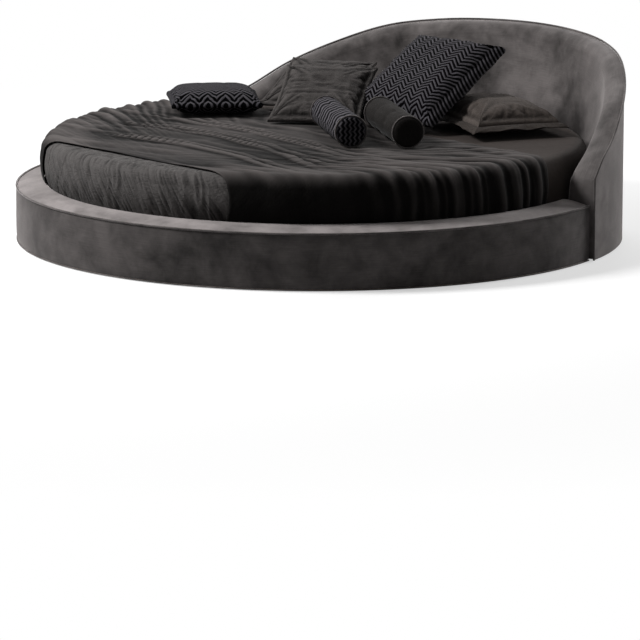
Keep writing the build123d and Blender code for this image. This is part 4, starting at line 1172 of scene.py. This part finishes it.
GROUPS.update(nap=nap_group(), weave=weave_group(), creases=crinkle_group(), zigzag=zigzag_group(),
              grain=grain_group())
MATERIALS = {
    "velvet": velvet("charcoal_velvet", (0.016, 0.0145, 0.0142), (0.088, 0.079, 0.077), 2.4, 0.6),
    # Paler copy of the charcoal velvet: painted light on the lit ledge
    "ledge_velvet_painted_lit": velvet("ledge_velvet_painted_lit", (0.155, 0.141, 0.138), (0.335, 0.303, 0.299), 3.2, 1.0),
    # Paler copy of the charcoal velvet: painted light on the lit headboard
    "headboard_velvet_painted_lit": velvet("headboard_velvet_painted_lit", (0.030, 0.027, 0.026), (0.140, 0.126, 0.123), 2.6, 1.0),
    # Paler copy of the velvet: a painted highlight along the pipings
    "piping": velvet("piping_velvet", (0.050, 0.045, 0.044), (0.130, 0.117, 0.114), 6.0, 0.8),
    "quilt": fine_cloth("crinkled_quilt", (0.002, 0.0018, 0.0018), (0.100, 0.0935, 0.091), 0.92, 0.3, 0.8,
                        900.0, 0.08, 0.7),
    "throw": satin("throw_satin", (0.0010, 0.0009, 0.0008), (0.086, 0.0770, 0.0745), 0.74, 0.22, 0.012, 0.90),
    "sheet": satin("sheet_sateen", (0.026, 0.0208, 0.0186), (0.044, 0.0354, 0.0315), 0.78, 0.2, 0.02),
    "linen": fine_cloth("slub_linen", (0.006, 0.0055, 0.0053), (0.090, 0.082, 0.079), 0.93, 0.4, 1.0, 1000.0,
                        0.06, 0.6),
    "pillow": fine_cloth("pillow_cloth", (0.018, 0.0150, 0.0133), (0.100, 0.084, 0.0755), 0.86, 0.2, 0.6,
                         1500.0, 0.08, 0.5),
    "woven": zigzag("zigzag_cloth", (0.0005, 0.0005, 0.0008), (0.080, 0.0755, 0.084), 0.081, 0.0215, 3.0),
    "woven_fine": zigzag("zigzag_bolster_cloth", (0.002, 0.002, 0.003), (0.100, 0.094, 0.104), 0.060, 0.046,
                         0.9),
    "bolster": fine_cloth("bolster_sateen", (0.007, 0.0063, 0.0060), (0.022, 0.0198, 0.0187), 0.88, 0.15, 0.3,
                          1500.0, 0.05),
    "ticking": ticking("mattress_ticking"),
    "plywood": wood("plywood", (0.50, 0.36, 0.21), (0.72, 0.57, 0.38)),
    "bent": wood("bent_plywood", (0.42, 0.29, 0.16), (0.64, 0.49, 0.31), (0, math.pi / 2, 0)),
    "pine": wood("planed_pine", (0.47, 0.36, 0.23), (0.66, 0.54, 0.39)),
    "steel": rigid("zinc_steel", (0.60, 0.61, 0.63), 0.38, 1.0),
    "black_steel": rigid("black_painted_steel", (0.03, 0.03, 0.03), 0.5, 0.0),
    "plastic": rigid("black_plastic", (0.022, 0.022, 0.023), 0.55, 0.0, 0.2),
}
NODE_FINISH = {
    "plywood": ("base_bottom_ring", "base_ledge_board", "base_ribs", "slat_cleat_ring", "headboard_ribs",
                "headboard_bottom_plate"),
    "bent": ("base_skin", "base_inner_wall", "headboard_lower_panel", "headboard_back_panel",
             "headboard_face_panel"),
    "pine": ("slats", "beam_middle", "beams_side", "beam_legs"),
    "steel": ("slat_screws", "headboard_bolts", "headboard_washers", "headboard_barrel_nuts"),
    "black_steel": ("beam_brackets",),
    "plastic": ("beam_feet", "base_glides", "headboard_glides"),
}
for finish, names in NODE_FINISH.items():
    for node_name in names:
        node_object = frame["nodes"][node_name]
        node_object.data.materials.clear()
        node_object.data.materials.append(MATERIALS[finish])

# Frame's soft parts
side = finish_piece(base_side(), "frame", MATERIALS["velvet"], ("base_side_cover", "base_side_foam"))
ledge = finish_piece(base_ledge(), "frame", MATERIALS["ledge_velvet_painted_lit"], ("ledge_cover", "ledge_foam"))
finish_piece(base_piping("base_edge_piping", 1.3470, 0.2455, 0.0045), "frame", MATERIALS["piping"],
             ("base_top_piping",))
finish_piece(base_piping("base_hem_piping", 1.34775, 0.0065, 0.0030), "frame", MATERIALS["piping"],
             ("base_bottom_piping",))
inner = finish_piece(headboard_inner(), "frame", MATERIALS["headboard_velvet_painted_lit"],
                     ("headboard_inner_cover", "headboard_foam"))
outer = finish_piece(headboard_outer(), "frame", MATERIALS["headboard_velvet_painted_lit"],
                     ("headboard_outer_cover", "headboard_wadding"))
finish_piece(headboard_piping(), "frame", MATERIALS["piping"], ("headboard_piping",))
finish_piece(headboard_hem(), "frame", MATERIALS["piping"], ("headboard_hem_piping",))

# Mattress and bedding
mattress_piece = finish_piece(mattress(), "mattress", MATERIALS["ticking"],
                              ("mattress_core", "mattress_ticking"))
sheet_piece = finish_piece(fitted_sheet(), "mattress", MATERIALS["sheet"], ("fitted_sheet",))
quilt_object = finish_piece(crinkled_quilt(), "mattress", MATERIALS["quilt"], ("quilt",))
throw_piece = finish_piece(bed_throw(), "mattress", MATERIALS["throw"], ("bed_throw",))

# Cushions
for number, cushion_name in enumerate(CUSHIONS):
    stuffed, place = cushion(cushion_name, 100 + 7 * number)
    border, kind = CUSHIONS[cushion_name][-2:]
    finish_piece(stuffed, cushion_name, MATERIALS[kind],
                 (cushion_name + "_cover", cushion_name + "_pad"))
    if border:
        edge = pillow_border(cushion_name, place, 60 + number)
        finish_piece(edge, cushion_name, MATERIALS[kind])
for number, bolster_name in enumerate(BOLSTERS):
    roll, end_piping = bolster(bolster_name, 200 + number)
    kind = BOLSTERS[bolster_name][2]
    finish_piece(roll, bolster_name, MATERIALS["woven_fine" if kind == "woven" else "bolster"],
                 (bolster_name + "_cover", bolster_name + "_pad"))
    finish_piece(end_piping, bolster_name, MATERIALS["piping"],
                 (bolster_name + "_piping",))


# Studio
def floor():
    """Pale floor. Far off it glows white to the camera, so that it meets the background; near the bed the glow
    gives up a share for lit paint, which takes the shadow, and under the bed there is none."""
    mesh = bpy.data.meshes.new("floor")
    mesh.from_pydata([(-60, -60, 0), (60, -60, 0), (60, 60, 0), (-60, 60, 0)], [], [(0, 1, 2, 3)])
    piece = bpy.data.objects.new("floor", mesh)
    bpy.context.scene.collection.objects.link(piece)
    material = bpy.data.materials.new("pale_floor")
    material.use_nodes = True
    tree = material.node_tree
    shader = tree.nodes["Principled BSDF"]
    coords = tree.nodes.new("ShaderNodeTexCoord")
    far = add(tree, "ShaderNodeVectorMath", {0: coords.outputs["Object"]}, operation="LENGTH").outputs["Value"]
    near = spread_of(far, 1.6, 5.0, 1.0, 0.0)
    lit, given_up = 0.50, 0.48
    tint = times(near, lit)
    shade = add(tree, "ShaderNodeCombineColor", {0: tint, 1: tint, 2: tint}).outputs[0]
    tree.links.new(shade, shader.inputs["Base Color"])
    constants(shader, Roughness=0.8, Specular_IOR_Level=0.0, Emission_Color=colour(1, 1, 1))
    path = tree.nodes.new("ShaderNodeLightPath")
    beside_bed = spread_of(far, 1.25, 1.34)
    lift = times(calc("SUBTRACT", 1.0, times(near, given_up)), beside_bed)
    glow = times(path.outputs["Is Camera Ray"], lift)
    tree.links.new(glow, shader.inputs["Emission Strength"])
    mesh.materials.append(material)


def lamp(name, azimuth, elevation, distance, size, power):
    """Soft round lamp at a direction round the bed, facing it. Azimuth 0 is in front of the foot."""
    light = bpy.data.lights.new(name, "AREA")
    light.shape = "DISK"
    light.size = size
    light.energy = power
    piece = bpy.data.objects.new(name, light)
    a, e = math.radians(azimuth), math.radians(elevation)
    back = Vector((math.sin(a) * math.cos(e), -math.cos(a) * math.cos(e), math.sin(e)))
    piece.location = Vector((0, 0, 0.3)) + back * distance
    piece.rotation_mode = "QUATERNION"
    piece.rotation_quaternion = (-back).to_track_quat("-Z", "Y")
    bpy.context.scene.collection.objects.link(piece)


def world():
    """Even studio light; the background is white to the camera and in reflections."""
    sky = bpy.data.worlds.new("studio")
    bpy.context.scene.world = sky
    sky.use_nodes = True
    tree = sky.node_tree
    back = tree.nodes["Background"]
    back.inputs["Color"].default_value = colour(1, 1, 1)
    path = tree.nodes.new("ShaderNodeLightPath")
    seen = calc("MAXIMUM", path.outputs["Is Camera Ray"], path.outputs["Is Glossy Ray"])
    seen = calc("MAXIMUM", seen, path.outputs["Is Transmission Ray"])
    tree.links.new(calc("MAXIMUM", seen, 0.17), back.inputs["Strength"])


def camera():
    """Camera of the photograph's upper view, fitted to the round base."""
    azimuth, elevation, distance = math.radians(48.9), math.radians(10.203), 18.9
    heading, pitch = math.radians(48.867), math.radians(11.362)
    data = bpy.data.cameras.new("camera")
    data.sensor_width = 36
    data.lens = 236.4
    data.clip_end = 200
    piece = bpy.data.objects.new("camera", data)
    piece.location = (distance * math.sin(azimuth) * math.cos(elevation),
                      -distance * math.cos(azimuth) * math.cos(elevation), distance * math.sin(elevation))
    piece.rotation_euler = (math.pi / 2 - pitch, 0, heading)
    bpy.context.scene.collection.objects.link(piece)
    bpy.context.scene.camera = piece


floor()
# Azimuth and elevation in degrees, distance and size in metres, power in watts
for lamp_name, setting in {"key": (-32, 46, 7, 2.2, 600), "back": (222, 40, 8, 4.0, 200),
                           "rim": (168, 20, 8, 3.0, 330)}.items():
    lamp(lamp_name, *setting)
world()
camera()
bpy.context.scene.view_settings.view_transform = "Standard"
